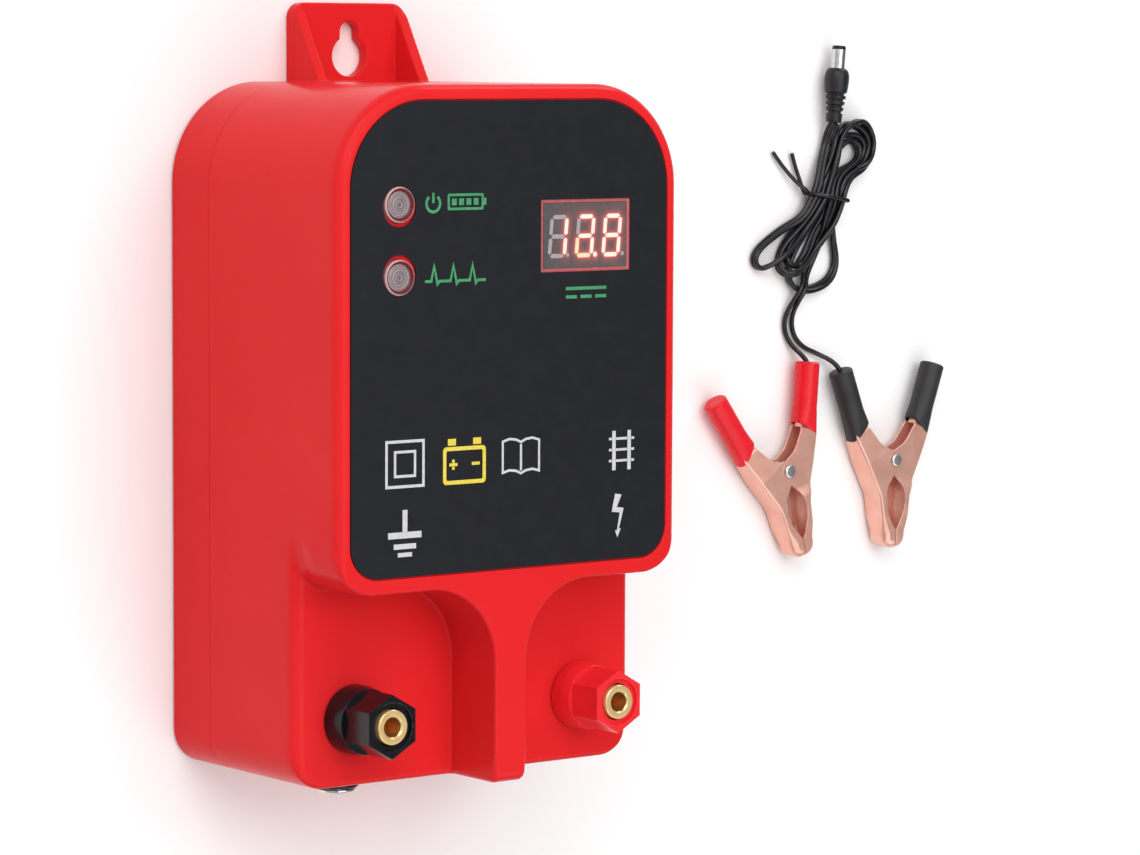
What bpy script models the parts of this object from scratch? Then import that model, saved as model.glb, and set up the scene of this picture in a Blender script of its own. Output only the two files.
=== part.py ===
"""Fence energizer: a wall-hung two-shell case with an earth and an output
terminal, a voltage display, two indicator lamps and a 12 V inlet, and its
battery lead with a coaxial plug and two spring clips.

Metres. +X to the right of the front panel, +Y up the wall, +Z out of the
panel. The back of the case lies on Z = 0, and the origin is the middle of the
case's outline there. The battery lead lies beside the case on the same plane.
"""

import math

import bmesh
import bpy
from mathutils import Vector

MM = 0.001

# ---------------------------------------------------------------- dimensions
# Case, in millimetres, measured from the middle of its bottom edge.
CASE_W, CASE_H, CASE_D = 90.4, 149.5, 63.7
WALL = 2.5
TOP_R, BOTTOM_R = 22.0, 8.0
SEAM_Z = 15.0                      # rear shell height
SEAM_GAP = 0.3
RECESS_DEPTH = 16.1                # terminal recess, from the panel
PANEL_BOTTOM = 42.9                # lower edge of the panel block
PANEL_CORNER_R = 9.5
RIB_W, RIB_FLARE_R, RIB_TIP_R = 8.5, 16.5, 1.6
FLOOR_Z = CASE_D - RECESS_DEPTH    # recess floor

# Hanging lug with its keyhole.
LUG_W, LUG_TOP, LUG_T, LUG_CORNER_R = 30.0, 166.9, 2.8, 3.5
GUSSET_T, GUSSET_OUT, GUSSET_TOP_OUT = 2.6, 12.6, 3.2
KEY_Y, KEY_R, SLOT_Y, SLOT_R = 155.1, 4.5, 160.45, 2.45

# Front label and what shows through it.
LABEL_MARGIN, LABEL_T, LABEL_POCKET = 3.4, 0.3, 0.6
LABEL_BOTTOM, LABEL_TOP_R, LABEL_BOTTOM_R = 46.4, 18.6, 7.0
LENS_X, POWER_Y, SHOCK_Y = -29.6, 124.5, 109.3
LENS_R, LENS_HOLE_R, LENS_RIM_R = 3.8, 4.1, 4.5
DISPLAY_X, DISPLAY_Y = 19.6, 117.1
DISPLAY_W, DISPLAY_H, DISPLAY_T = 22.6, 14.0, 7.2
WINDOW_W, WINDOW_H = 24.2, 15.5

# Terminals.
TERM_X, TERM_Y = 30.3, 14.6
POST_R, POST_BORE_R, POST_TIP, SHANK_R = 3.75, 2.1, 15.1, 2.5
SKIRT_R, HEX_R, KNOB_TOP = 7.6, 6.95, 14.3
THREAD_PITCH = 0.75

# 12 V inlet in the bottom wall.
JACK_X, JACK_Z, JACK_FLANGE_R, JACK_OUT = -28.9, 39.4, 5.0, 2.2

# Circuit board and the screws.
BOARD_W, BOARD_H, BOARD_T, BOARD_Y, BOARD_Z = 60.0, 95.0, 1.6, 80.0, 8.3
STANDOFFS = [(sx * 26.0, y) for sx in (-1, 1) for y in (40.0, 120.0)]
CASE_SCREWS = [(-34.0, 134.0), (34.0, 134.0), (-38.0, 34.0), (38.0, 34.0)]

# Battery lead, in its own millimetres about LEAD_AT on the case's frame.
LEAD_AT = (140.5, 91.6)
WIRE_R = 0.72
HANK_Z0, HANK_Z1 = 1.5, 7.6
PLUG_END, PLUG_TURN = (1.9, 47.8), -4.9          # grip's cord end, degrees
PLUG_Z, GRIP_L, BARREL_R, BARREL_L = 3.6, 13.2, 1.75, 4.3
RED_AT, RED_TURN = (-14.3, -36.2), 16.1
BLACK_AT, BLACK_TURN = (20.2, -35.3), 1.0

# Spring clip, about its rivet: +Y to the handles, -Y to the tip.
CLIP_Z0, CLIP_Z1, SHEET = 0.55, 7.25, 0.6
EAR_R, RIVET_R, RIVET_HEAD_R = 2.5, 0.9, 1.6
HANDLE_MOUTH, HANDLE_LEAN = (9.4, 6.8), 20.0
STUB_W, STUB_H, STUB_L = 3.0, 4.0, 12.0
SLEEVE_R, SLEEVE_FROM, SLEEVE_TO = 3.05, 1.1, 17.0

CENTRE_Y = (LUG_TOP - JACK_OUT) / 2

# ------------------------------------------------------------------- helpers
for old in list(bpy.data.objects):
    bpy.data.objects.remove(old, do_unlink=True)

PARTS = bpy.data.collections.new("fence_energizer")
CUTTERS = bpy.data.collections.new("cutters")
bpy.context.scene.collection.children.link(PARTS)
bpy.context.scene.collection.children.link(CUTTERS)


def material(name, colour, roughness=0.5, metallic=0.0, alpha=1.0):
    found = bpy.data.materials.get(name)
    if found:
        return found
    made = bpy.data.materials.new(name)
    made.use_nodes = True
    shader = made.node_tree.nodes["Principled BSDF"]
    shader.inputs["Base Color"].default_value = (*colour, 1.0)
    shader.inputs["Roughness"].default_value = roughness
    shader.inputs["Metallic"].default_value = metallic
    shader.inputs["Alpha"].default_value = alpha
    made.diffuse_color = (*colour, alpha)
    return made


RED = ("red_abs", (0.80, 0.035, 0.04), 0.3)
BLACK_LABEL = ("black_label", (0.022, 0.023, 0.028), 0.45)
BLACK = ("black_plastic", (0.018, 0.018, 0.020), 0.4)
RED_KNOB = ("red_knob", (0.78, 0.02, 0.03), 0.28)
CLEAR = ("clear_lens", (0.85, 0.78, 0.78), 0.1)
BRASS = ("brass", (0.83, 0.58, 0.24), 0.25, 1.0)
STEEL = ("nickel", (0.72, 0.72, 0.74), 0.25, 1.0)
RUBBER = ("seal_rubber", (0.03, 0.03, 0.03), 0.8)
GREEN_BOARD = ("board", (0.03, 0.18, 0.07), 0.5)
FERRITE = ("core_iron", (0.10, 0.10, 0.11), 0.6, 0.5)
WINDING = ("winding", (0.55, 0.40, 0.10), 0.5)
FILM = ("capacitor_box", (0.62, 0.12, 0.08), 0.4)
COPPER = ("copper_plate", (0.83, 0.47, 0.34), 0.3, 1.0)
VINYL_RED = ("red_vinyl", (0.75, 0.015, 0.03), 0.4)
VINYL_BLACK = ("black_vinyl", (0.015, 0.015, 0.017), 0.5)
CORD = ("cord_pvc", (0.014, 0.014, 0.016), 0.4)


def link(obj, look=None, parent=None, cutter=False):
    (CUTTERS if cutter else PARTS).objects.link(obj)
    if parent:
        obj.parent = parent
    if cutter:
        obj.hide_render = True
        obj.display_type = "WIRE"
    if look:
        obj.data.materials.clear()
        obj.data.materials.append(material(*look))
    return obj


def empty(name, at, turn=0.0, parent=None):
    made = bpy.data.objects.new(name, None)
    made.location = (at[0] * MM, at[1] * MM, 0.0)
    made.rotation_euler = (0.0, 0.0, math.radians(turn))
    PARTS.objects.link(made)
    made.parent = parent
    return made


def fillet(corners, per_turn=28):
    """Closed outline through corners (x, y, radius), each rounded by an arc."""
    out = []
    count = len(corners)
    for i, (x, y, r) in enumerate(corners):
        p = Vector((x, y))
        a = (Vector(corners[i - 1][:2]) - p).normalized()
        b = (Vector(corners[(i + 1) % count][:2]) - p).normalized()
        if r <= 0:
            out.append((x, y))
            continue
        half = a.angle(b) / 2
        centre = p + (a + b).normalized() * (r / math.sin(half))
        first = p + a * (r / math.tan(half)) - centre
        last = p + b * (r / math.tan(half)) - centre
        a0 = math.atan2(first.y, first.x)
        sweep = math.atan2(last.y, last.x) - a0
        sweep = (sweep + math.pi) % (2 * math.pi) - math.pi
        steps = max(2, round(abs(sweep) / (2 * math.pi) * per_turn))
        for k in range(steps + 1):
            t = a0 + sweep * k / steps
            out.append((centre.x + r * math.cos(t), centre.y + r * math.sin(t)))
    return out


def circle(x, y, r, steps=28):
    return [(x + r * math.cos(2 * math.pi * k / steps), y + r * math.sin(2 * math.pi * k / steps)) for k in range(steps)]


def rectangle(x, y, w, h, r=0.0, per_turn=16):
    return fillet([(x - w / 2, y - h / 2, r), (x + w / 2, y - h / 2, r), (x + w / 2, y + h / 2, r), (x - w / 2, y + h / 2, r)], per_turn)


def smooth_through(points, per_span=4, closed=False):
    """Points of a Catmull-Rom curve through the given points."""
    pts = [Vector(p) for p in points]
    n = len(pts)
    out = []
    spans = n if closed else n - 1
    for i in range(spans):
        p1, p2 = pts[i], pts[(i + 1) % n]
        p0 = pts[i - 1] if closed or i > 0 else p1 * 2 - p2
        p3 = pts[(i + 2) % n] if closed or i + 2 < n else p2 * 2 - p1
        for k in range(per_span):
            t = k / per_span
            out.append(0.5 * (p1 * 2 + (p2 - p0) * t + (p0 * 2 - p1 * 5 + p2 * 4 - p3) * t * t + (p1 * 3 - p0 - p2 * 3 + p3) * t ** 3))
    if not closed:
        out.append(pts[-1])
    return out


def as_mesh(curve_obj, name):
    """Mesh object with the evaluated shape of a curve, its caps welded."""
    bpy.context.view_layer.update()
    graph = bpy.context.evaluated_depsgraph_get()
    mesh = bpy.data.meshes.new_from_object(curve_obj.evaluated_get(graph))
    mesh.name = name
    bm = bmesh.new()
    bm.from_mesh(mesh)
    bmesh.ops.remove_doubles(bm, verts=bm.verts, dist=1e-7)
    bmesh.ops.recalc_face_normals(bm, faces=bm.faces)
    bm.to_mesh(mesh)
    bm.free()
    place = curve_obj.matrix_world.copy()
    data = curve_obj.data
    bpy.data.objects.remove(curve_obj, do_unlink=True)
    bpy.data.curves.remove(data)
    made = bpy.data.objects.new(name, mesh)
    made.matrix_world = place
    return made


def prism(name, loops, z0, z1, look=None, parent=None, cutter=False):
    """Flat outline, with any holes after it, extruded from z0 to z1."""
    curve = bpy.data.curves.new(name, "CURVE")
    curve.dimensions = "2D"
    curve.fill_mode = "BOTH"
    curve.extrude = (z1 - z0) / 2 * MM
    for loop in loops:
        spline = curve.splines.new("POLY")
        spline.points.add(len(loop) - 1)
        for point, (x, y) in zip(spline.points, loop):
            point.co = (x * MM, y * MM, 0.0, 1.0)
        spline.use_cyclic_u = True
    flat = bpy.data.objects.new(name + "_outline", curve)
    bpy.context.scene.collection.objects.link(flat)
    flat.location.z = (z0 + z1) / 2 * MM
    return link(as_mesh(flat, name), look, parent, cutter)


def tube(name, points, radius, look=None, parent=None, resolution=2, closed=False):
    """Round tube along points, with filled ends."""
    curve = bpy.data.curves.new(name, "CURVE")
    curve.dimensions = "3D"
    curve.bevel_depth = radius * MM
    curve.bevel_resolution = resolution
    curve.use_fill_caps = not closed
    spline = curve.splines.new("POLY")
    spline.points.add(len(points) - 1)
    for point, p in zip(spline.points, points):
        point.co = (p[0] * MM, p[1] * MM, p[2] * MM, 1.0)
    spline.use_cyclic_u = closed
    return link(bpy.data.objects.new(name, curve), look, parent)


def turned(name, profile, look=None, parent=None, at=(0, 0, 0), tilt=(0, 0, 0), steps=24, ring=False, cutter=False):
    """Profile of (radius, height), from the top down its outer side, turned about Z."""
    mesh = bpy.data.meshes.new(name)
    n = len(profile)
    edges = [(i, i + 1) for i in range(n - 1)] + ([(n - 1, 0)] if ring else [])
    mesh.from_pydata([(r * MM, 0.0, z * MM) for r, z in profile], edges, [])
    obj = bpy.data.objects.new(name, mesh)
    obj.location = [v * MM for v in at]
    obj.rotation_euler = [math.radians(v) for v in tilt]
    screw = obj.modifiers.new("turn", "SCREW")
    screw.steps = screw.render_steps = steps
    screw.use_merge_vertices = True
    screw.merge_threshold = 1e-6
    screw.use_smooth_shade = True
    return link(obj, look, parent, cutter)


def ring_of(r_in, r_out, z0, z1):
    return [(r_in, z1), (r_out, z1), (r_out, z0), (r_in, z0)]


def cylinder(name, r, z0, z1, at=(0, 0), look=None, parent=None, cutter=False, sides=14, turn=0.0):
    bpy.ops.mesh.primitive_cylinder_add(vertices=sides, radius=r * MM, depth=(z1 - z0) * MM, location=(at[0] * MM, at[1] * MM, (z0 + z1) / 2 * MM), rotation=(0, 0, math.radians(turn)))
    return adopt(name, look, parent, cutter)


def block(name, size, at, look=None, parent=None, cutter=False, turn=0.0, bevel=0.0):
    bpy.ops.mesh.primitive_cube_add(size=1.0, location=[v * MM for v in at], rotation=(0, 0, math.radians(turn)))
    obj = bpy.context.object
    for vertex in obj.data.vertices:
        vertex.co = [c * s * MM for c, s in zip(vertex.co, size)]
    if bevel:
        edge = obj.modifiers.new("edges", "BEVEL")
        edge.width = bevel * MM
        edge.segments = 2
    return adopt(name, look, parent, cutter)


def adopt(name, look, parent, cutter):
    obj = bpy.context.object
    obj.name = obj.data.name = name
    for home in list(obj.users_collection):
        home.objects.unlink(obj)
    return link(obj, look, parent, cutter)


def cut(obj, tool, how="DIFFERENCE"):
    step = obj.modifiers.new(tool.name, "BOOLEAN")
    step.operation = how
    step.solver = "EXACT"
    step.object = tool
    return obj


def join(obj, tool):
    return cut(obj, tool, "UNION")


# -------------------------------------------------------------------- frames
UNIT = empty("energizer", (0.0, -CENTRE_Y))
LEAD = empty("battery_lead", LEAD_AT, parent=UNIT)
RED_CLIP = empty("red_clip", RED_AT, RED_TURN, parent=LEAD)
BLACK_CLIP = empty("black_clip", BLACK_AT, BLACK_TURN, parent=LEAD)


# ---------------------------------------------------------------- case outlines
def case_outline(inset=0.0, per_turn=28):
    x, top, bottom = CASE_W / 2 - inset, CASE_H - inset, inset
    rt, rb = TOP_R - inset, BOTTOM_R - inset
    return fillet([(-x, bottom, rb), (x, bottom, rb), (x, top, rt), (-x, top, rt)], per_turn)


def recess_outline(side, inset=0.0, per_turn=40):
    """Terminal recess beside the rib, open to the case's side and bottom.

    inset moves its walls into the panel and the rib, for the hollow behind them.
    """
    x, low, rib = CASE_W / 2, PANEL_BOTTOM + inset, RIB_W / 2 - inset
    out = 4.0
    bend = PANEL_CORNER_R - inset
    mid_x = x - PANEL_CORNER_R + 0.25
    corner = [(mid_x + bend * math.cos(t), PANEL_BOTTOM + PANEL_CORNER_R + bend * math.sin(t)) for t in [-math.pi / 2 * k / 8 for k in range(9)]]
    flare = RIB_FLARE_R + inset
    inner = [(rib + flare + flare * math.cos(t), low - flare + flare * math.sin(t)) for t in [math.pi / 2 + math.pi / 2 * k / 10 for k in range(11)]]
    path = [(x + out, corner[0][1])] + corner + inner + [(rib, -out), (x + out, -out)]
    return path if side > 0 else [(-px, py) for px, py in reversed(path)]


def label_outline(inset=0.0):
    x, top, low = CASE_W / 2 - LABEL_MARGIN - inset, CASE_H - LABEL_MARGIN - inset, LABEL_BOTTOM + inset
    rt, rb = LABEL_TOP_R - inset, LABEL_BOTTOM_R - inset
    return fillet([(-x, low, rb), (x, low, rb), (x, top, rt), (-x, top, rt)])


# ------------------------------------------------------------------ rear shell
rear = prism("rear_shell", [case_outline()], 0.0, SEAM_Z, RED, UNIT)
lug = prism("lug_plate", [fillet([(-LUG_W / 2, CASE_H - 4, 0), (LUG_W / 2, CASE_H - 4, 0), (LUG_W / 2, LUG_TOP, LUG_CORNER_R), (-LUG_W / 2, LUG_TOP, LUG_CORNER_R)])], 0.0, LUG_T, parent=UNIT, cutter=True)
join(rear, lug)
for side in (-1, 1):
    # Gusset outline in the Y-Z plane, turned upright and set on the lug's side.
    web = prism(f"lug_gusset_{side}", [[(0.05, CASE_H - 3), (GUSSET_OUT, CASE_H - 3), (GUSSET_OUT, CASE_H), (GUSSET_TOP_OUT, LUG_TOP - 1.5), (0.05, LUG_TOP - 4.0)]], -GUSSET_T / 2, GUSSET_T / 2, parent=UNIT, cutter=True)
    web.rotation_euler = (0.0, -math.pi / 2, 0.0)
    web.location = (side * (LUG_W / 2 - GUSSET_T / 2 - 0.02) * MM, 0.0, 0.0)
    join(rear, web)
cut(rear, prism("rear_hollow", [case_outline(WALL)], WALL, SEAM_Z + 5, parent=UNIT, cutter=True))
cut(rear, prism("seal_rebate", [case_outline(1.3)], SEAM_Z - 1.5, SEAM_Z + 6, parent=UNIT, cutter=True))
rise = math.asin(SLOT_R / KEY_R)
arc = [(KEY_R * math.cos(t), KEY_Y + KEY_R * math.sin(t)) for t in [math.pi / 2 + rise + (2 * math.pi - 2 * rise) * k / 24 for k in range(25)]]
cap = [(SLOT_R * math.cos(math.pi * k / 10), SLOT_Y + SLOT_R * math.sin(math.pi * k / 10)) for k in range(11)]
cut(rear, prism("keyhole", [arc + cap], -2.0, 6.0, parent=UNIT, cutter=True))
for n, (x, y) in enumerate(CASE_SCREWS, 1):
    join(rear, cylinder(f"rear_boss_{n}", 4.3, 1.0, SEAM_Z - 0.0, (x, y), parent=UNIT, cutter=True))
    cut(rear, cylinder(f"screw_pocket_{n}", 3.2, -2.0, 9.0, (x, y), parent=UNIT, cutter=True))
    cut(rear, cylinder(f"screw_way_{n}", 1.85, 5.0, SEAM_Z + 3, (x, y), parent=UNIT, cutter=True, sides=12))
for n, (x, y) in enumerate(STANDOFFS, 1):
    join(rear, cylinder(f"standoff_{n}", 3.0, 1.0, BOARD_Z - 0.3, (x, y), parent=UNIT, cutter=True, sides=12))
    cut(rear, cylinder(f"standoff_pilot_{n}", 1.3, 3.2, BOARD_Z + 2, (x, y), parent=UNIT, cutter=True, sides=12))

# ----------------------------------------------------------------- front shell
front = prism("front_shell", [case_outline()], SEAM_Z + SEAM_GAP, CASE_D, RED, UNIT)
hollow = prism("front_hollow", [case_outline(WALL)], SEAM_Z - 4, CASE_D - WALL, parent=UNIT, cutter=True)
for n, side in enumerate((-1, 1), 1):
    cut(front, prism(f"recess_{n}", [recess_outline(side)], FLOOR_Z, CASE_D + 5, parent=UNIT, cutter=True))
    cut(hollow, prism(f"recess_wall_{n}", [recess_outline(side, WALL)], FLOOR_Z - WALL, CASE_D + 5, parent=UNIT, cutter=True))
cut(front, hollow)
for n, (x, y) in enumerate(CASE_SCREWS, 1):
    top = CASE_D - WALL + 0.8 if y > PANEL_BOTTOM + WALL else FLOOR_Z - WALL + 0.8
    join(front, cylinder(f"front_boss_{n}", 4.0, SEAM_Z + SEAM_GAP, top, (x, y), parent=UNIT, cutter=True))
    cut(front, cylinder(f"front_pilot_{n}", 1.85, SEAM_Z - 3, 34.0, (x, y), parent=UNIT, cutter=True, sides=12))
for n, side in enumerate((-1, 1), 1):
    join(front, cylinder(f"display_peg_{n}", 1.2, 52.0, CASE_D - WALL + 0.8, (DISPLAY_X + side * 13.7, DISPLAY_Y), parent=UNIT, cutter=True, sides=12))
cut(front, prism("label_pocket", [label_outline(-0.3)], CASE_D - LABEL_POCKET, CASE_D + 2, parent=UNIT, cutter=True))
cut(front, block("window", (DISPLAY_W + 0.6, DISPLAY_H + 0.6, 12.0), (DISPLAY_X, DISPLAY_Y, CASE_D), parent=UNIT, cutter=True))
for name, y in (("power", POWER_Y), ("shock", SHOCK_Y)):
    cut(front, cylinder(f"{name}_lens_hole", LENS_HOLE_R, CASE_D - 8, CASE_D + 4, (LENS_X, y), parent=UNIT, cutter=True, sides=24))
for name, side in (("earth", -1), ("output", 1)):
    cut(front, cylinder(f"{name}_hole", 5.0, FLOOR_Z - 6, FLOOR_Z + 4, (side * TERM_X, TERM_Y), parent=UNIT, cutter=True, sides=20))
jack_hole = cylinder("jack_hole", 4.1, -6, 6, parent=UNIT, cutter=True, sides=20)
jack_hole.rotation_euler = (math.pi / 2, 0, 0)
jack_hole.location = (JACK_X * MM, 0, JACK_Z * MM)
cut(front, jack_hole)

# --------------------------------------------------------- seal, label, screws
prism("case_seal", [case_outline(1.6), case_outline(2.4)], SEAM_Z - 1.2, SEAM_Z + 0.05, RUBBER, UNIT)
label_holes = [circle(LENS_X, y, LENS_RIM_R, 24) for y in (POWER_Y, SHOCK_Y)] + [rectangle(DISPLAY_X, DISPLAY_Y, WINDOW_W, WINDOW_H, 0.6)]
prism("front_label", [label_outline()] + label_holes, CASE_D - LABEL_T, CASE_D, BLACK_LABEL, UNIT)
for n, (x, y) in enumerate(CASE_SCREWS, 1):
    turned(f"case_screw_{n}", [(0, 30.0), (0.7, 29.2), (1.5, 27.0), (1.5, 8.7), (2.9, 8.7), (2.9, 7.2), (2.1, 5.9), (0, 5.9)], STEEL, UNIT, (x, y, 0), steps=12)

# ------------------------------------------------------------ lamps and display
for name, y in (("power", POWER_Y), ("shock", SHOCK_Y)):
    turned(f"{name}_lens", [(0, CASE_D + 0.7), (2.2, CASE_D + 0.55), (3.4, CASE_D + 0.15), (LENS_R, CASE_D - 0.7), (LENS_R, CASE_D - 2.8), (5.2, CASE_D - 2.8), (5.2, CASE_D - 4.0), (0, CASE_D - 4.0)], CLEAR, UNIT, (LENS_X, y, 0), steps=24)
    turned(f"{name}_led", [(0, 59.2), (1.2, 58.8), (2.1, 57.9), (2.5, 56.7), (2.5, 51.2), (2.9, 51.2), (2.9, 50.2), (0, 50.2)], CLEAR, UNIT, (LENS_X, y, 0), steps=16)
block("display_block", (DISPLAY_W, DISPLAY_H, DISPLAY_T), (DISPLAY_X, DISPLAY_Y, CASE_D - 0.3 - DISPLAY_T / 2), BLACK, UNIT)
board = prism("display_board", [rectangle(DISPLAY_X, DISPLAY_Y, 31.6, 19.0, 1.0)] + [circle(DISPLAY_X + s * 13.7, DISPLAY_Y, 1.55, 12) for s in (-1, 1)], CASE_D - 0.6 - DISPLAY_T - 1.6, CASE_D - 0.6 - DISPLAY_T, GREEN_BOARD, UNIT)

# -------------------------------------------------------------------- terminals
for name, side, look in (("earth", -1, BLACK), ("output", 1, RED_KNOB)):
    at = (side * TERM_X, TERM_Y, FLOOR_Z)
    turned(f"{name}_collar", [(2.8, -0.05), (4.6, -0.05), (4.6, -2.8), (5.8, -2.8), (5.8, -4.3), (2.8, -4.3)], look, UNIT, at, steps=20, ring=True)
    turned(f"{name}_post", [(0, 2.2), (POST_BORE_R, 2.6), (POST_BORE_R, POST_TIP - 0.6), (POST_BORE_R + 0.6, POST_TIP), (POST_R - 0.3, POST_TIP), (POST_R, POST_TIP - 0.3), (POST_R, 0.3), (SHANK_R, 0.3), (SHANK_R, -10.0), (SHANK_R - 0.5, -10.5), (0, -10.5)], BRASS, UNIT, at, steps=20)
    turned(f"{name}_washer", ring_of(4.1, 6.1, 0.4, 1.2), STEEL, UNIT, at, steps=20, ring=True)
    nut = cylinder(f"{name}_nut", 4.6, -8.6, -4.7, look=BRASS, sides=6)
    nut.parent = UNIT
    nut.location = [c * MM for c in (at[0], at[1], at[2] - 6.65)]
    cut(nut, cylinder(f"{name}_nut_bore", 2.8, FLOOR_Z - 12, FLOOR_Z - 2, at[:2], parent=UNIT, cutter=True, sides=16))
    # Knob: round skirt running into a hexagon, point up, bored for the post.
    knob = cylinder(f"{name}_knob", HEX_R, 0.3, KNOB_TOP, look=look, sides=6)
    knob.parent = UNIT
    knob.location = [c * MM for c in (at[0], at[1], at[2] + (0.3 + KNOB_TOP) / 2)]
    skirt = turned(f"{name}_skirt", [(0, 7.6), (6.2, 7.4), (6.7, 5.6), (SKIRT_R, 4.4), (SKIRT_R, 0.3), (0, 0.3)], None, UNIT, at, steps=28, cutter=True)
    join(knob, skirt)
    cut(knob, cylinder(f"{name}_knob_bore", POST_R + 0.3, FLOOR_Z - 3, FLOOR_Z + 20, at[:2], parent=UNIT, cutter=True, sides=20))
    cut(knob, cylinder(f"{name}_knob_seat", 6.4, FLOOR_Z - 3, FLOOR_Z + 1.5, at[:2], parent=UNIT, cutter=True, sides=20))
    cut(knob, turned(f"{name}_knob_dish", [(0, KNOB_TOP + 2), (5.0, KNOB_TOP + 2), (5.0, KNOB_TOP - 0.7), (0, KNOB_TOP - 0.7)], None, UNIT, at, steps=20, cutter=True))

# ----------------------------------------------------------------- 12 V inlet
down = (90, 0, 0)                       # local +Z of the inlet points down, to -Y
inlet = (JACK_X, 0, JACK_Z)
turned("dc_jack_body", [(0, -6.6), (2.75, -6.6), (2.75, 1.2), (JACK_FLANGE_R - 0.3, 1.2), (JACK_FLANGE_R, 0.9), (JACK_FLANGE_R, 0.3), (3.75, 0.3), (3.75, -8.2), (0, -8.2)], BLACK, UNIT, inlet, down, steps=24)
turned("dc_jack_sleeve", [(1.95, JACK_OUT), (4.1, JACK_OUT), (4.3, JACK_OUT - 0.2), (4.3, 1.5), (2.45, 1.5), (2.45, -5.6), (1.95, -5.6)], STEEL, UNIT, inlet, down, steps=24, ring=True)
turned("dc_jack_pin", [(0, 1.0), (0.45, 0.7), (0.62, 0.2), (0.62, -6.3), (0, -6.3)], STEEL, UNIT, inlet, down, steps=12)
jack_nut = cylinder("dc_jack_nut", 5.2, -1.0, 1.0, look=STEEL, sides=6)
jack_nut.parent = UNIT
jack_nut.rotation_euler = (math.pi / 2, 0, 0)
jack_nut.location = (JACK_X * MM, 4.0 * MM, JACK_Z * MM)
nut_bore = cylinder("dc_jack_nut_bore", 4.05, -3, 3, parent=UNIT, cutter=True, sides=20)
nut_bore.rotation_euler = (math.pi / 2, 0, 0)
nut_bore.location = (JACK_X * MM, 4.0 * MM, JACK_Z * MM)
cut(jack_nut, nut_bore)

# --------------------------------------------------------------- inside the case
prism("main_board", [rectangle(0, BOARD_Y, BOARD_W, BOARD_H, 2.0)] + [circle(x, y, 1.4, 12) for x, y in STANDOFFS], BOARD_Z, BOARD_Z + BOARD_T, GREEN_BOARD, UNIT)
for n, (x, y) in enumerate(STANDOFFS, 1):
    turned(f"board_screw_{n}", [(0, 11.8), (1.6, 11.5), (2.2, 10.2), (1.0, 10.2), (1.0, 4.4), (0, 3.6)], STEEL, UNIT, (x, y, 0), steps=12)
on_board = BOARD_Z + BOARD_T + 0.3
core_at = (0.0, 66.0, on_board + 14.8)
core = block("transformer_core", (40, 34, 15), core_at, FERRITE, UNIT)
for n, side in enumerate((-1, 1), 1):
    cut(core, block(f"core_window_{n}", (8, 22, 24), (side * 10.0, core_at[1], core_at[2]), parent=UNIT, cutter=True))
coil = block("transformer_coil", (27.4, 21.4, 29.0), core_at, WINDING, UNIT)
cut(coil, block("coil_way", (12.6, 40, 15.6), core_at, parent=UNIT, cutter=True))
block("storage_capacitor", (32, 18, 28), (0, 101.0, on_board + 14.0), FILM, UNIT, bevel=0.8)
block("charging_transformer", (16, 14, 14), (-12.5, 39.8, on_board + 7.0), WINDING, UNIT, bevel=0.6)
block("thyristor", (10, 4.6, 15), (16.0, 40.0, on_board + 7.5), BLACK, UNIT, bevel=0.4)
tail = FLOOR_Z - 10.5 - 0.4
for name, side in (("earth", -1), ("output", 1)):
    route = [(side * 14.3, 66.0, 36.0), (side * 20.5, 60.0, 36.0), (side * 24.0, 46.0, 33.5), (side * 28.0, 27.0, 31.0), (side * TERM_X, 16.5, 32.5), (side * TERM_X, TERM_Y, 34.6), (side * TERM_X, TERM_Y, tail)]
    tube(f"{name}_wire", smooth_through(route, 3), 1.1, VINYL_BLACK if side < 0 else VINYL_RED, UNIT)
tube("supply_wire", smooth_through([(JACK_X, 8.8, JACK_Z - 1.5), (JACK_X, 11.2, JACK_Z - 4.0), (JACK_X + 0.6, 12.4, JACK_Z - 9), (JACK_X + 1, 14.0, 24.0), (-26.0, 24.0, 16.5), (-24.0, 31.0, 13.6), (-23.6, 34.6, 11.6)], 4), 0.9, VINYL_BLACK, UNIT)

# ----------------------------------------------------------------- battery lead
PLUG = empty("plug", PLUG_END, PLUG_TURN, parent=LEAD)
PLUG.location.z = PLUG_Z * MM
along = (-90, 0, 0)                     # local +Z of the plug runs along its +Y
ribs = []
for k in range(4):
    z = 2.0 + 1.45 * k
    r = 2.0 + 0.1 * (2 * k + 1)
    ribs += [(r + 0.25, z + 0.55), (r + 0.18, z), (r - 0.35, z - 0.05), (r - 0.35, z - 0.5)]
grip = [(0, GRIP_L), (2.45, GRIP_L), (2.7, GRIP_L - 0.4), (2.95, 11.2), (3.08, 9.6), (2.98, 8.2)] + sorted(ribs, key=lambda p: -p[1]) + [(1.95, 0.7), (1.8, 0.0), (0, 0.0)]
turned("plug_grip", grip, CORD, PLUG, (0, 0, 0), along, steps=14)
turned("plug_barrel", ring_of(1.2, BARREL_R, GRIP_L + 0.3, GRIP_L + 0.3 + BARREL_L), STEEL, PLUG, (0, 0, 0), along, steps=20, ring=True)
tip = GRIP_L + 0.6 + BARREL_L
turned("plug_insulator", [(0.68, tip + 0.6), (1.5, tip + 0.6), (1.7, tip + 0.4), (1.7, tip), (0.9, tip), (0.9, GRIP_L + 0.3), (0.68, GRIP_L + 0.3)], BLACK, PLUG, (0, 0, 0), along, steps=20, ring=True)

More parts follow.
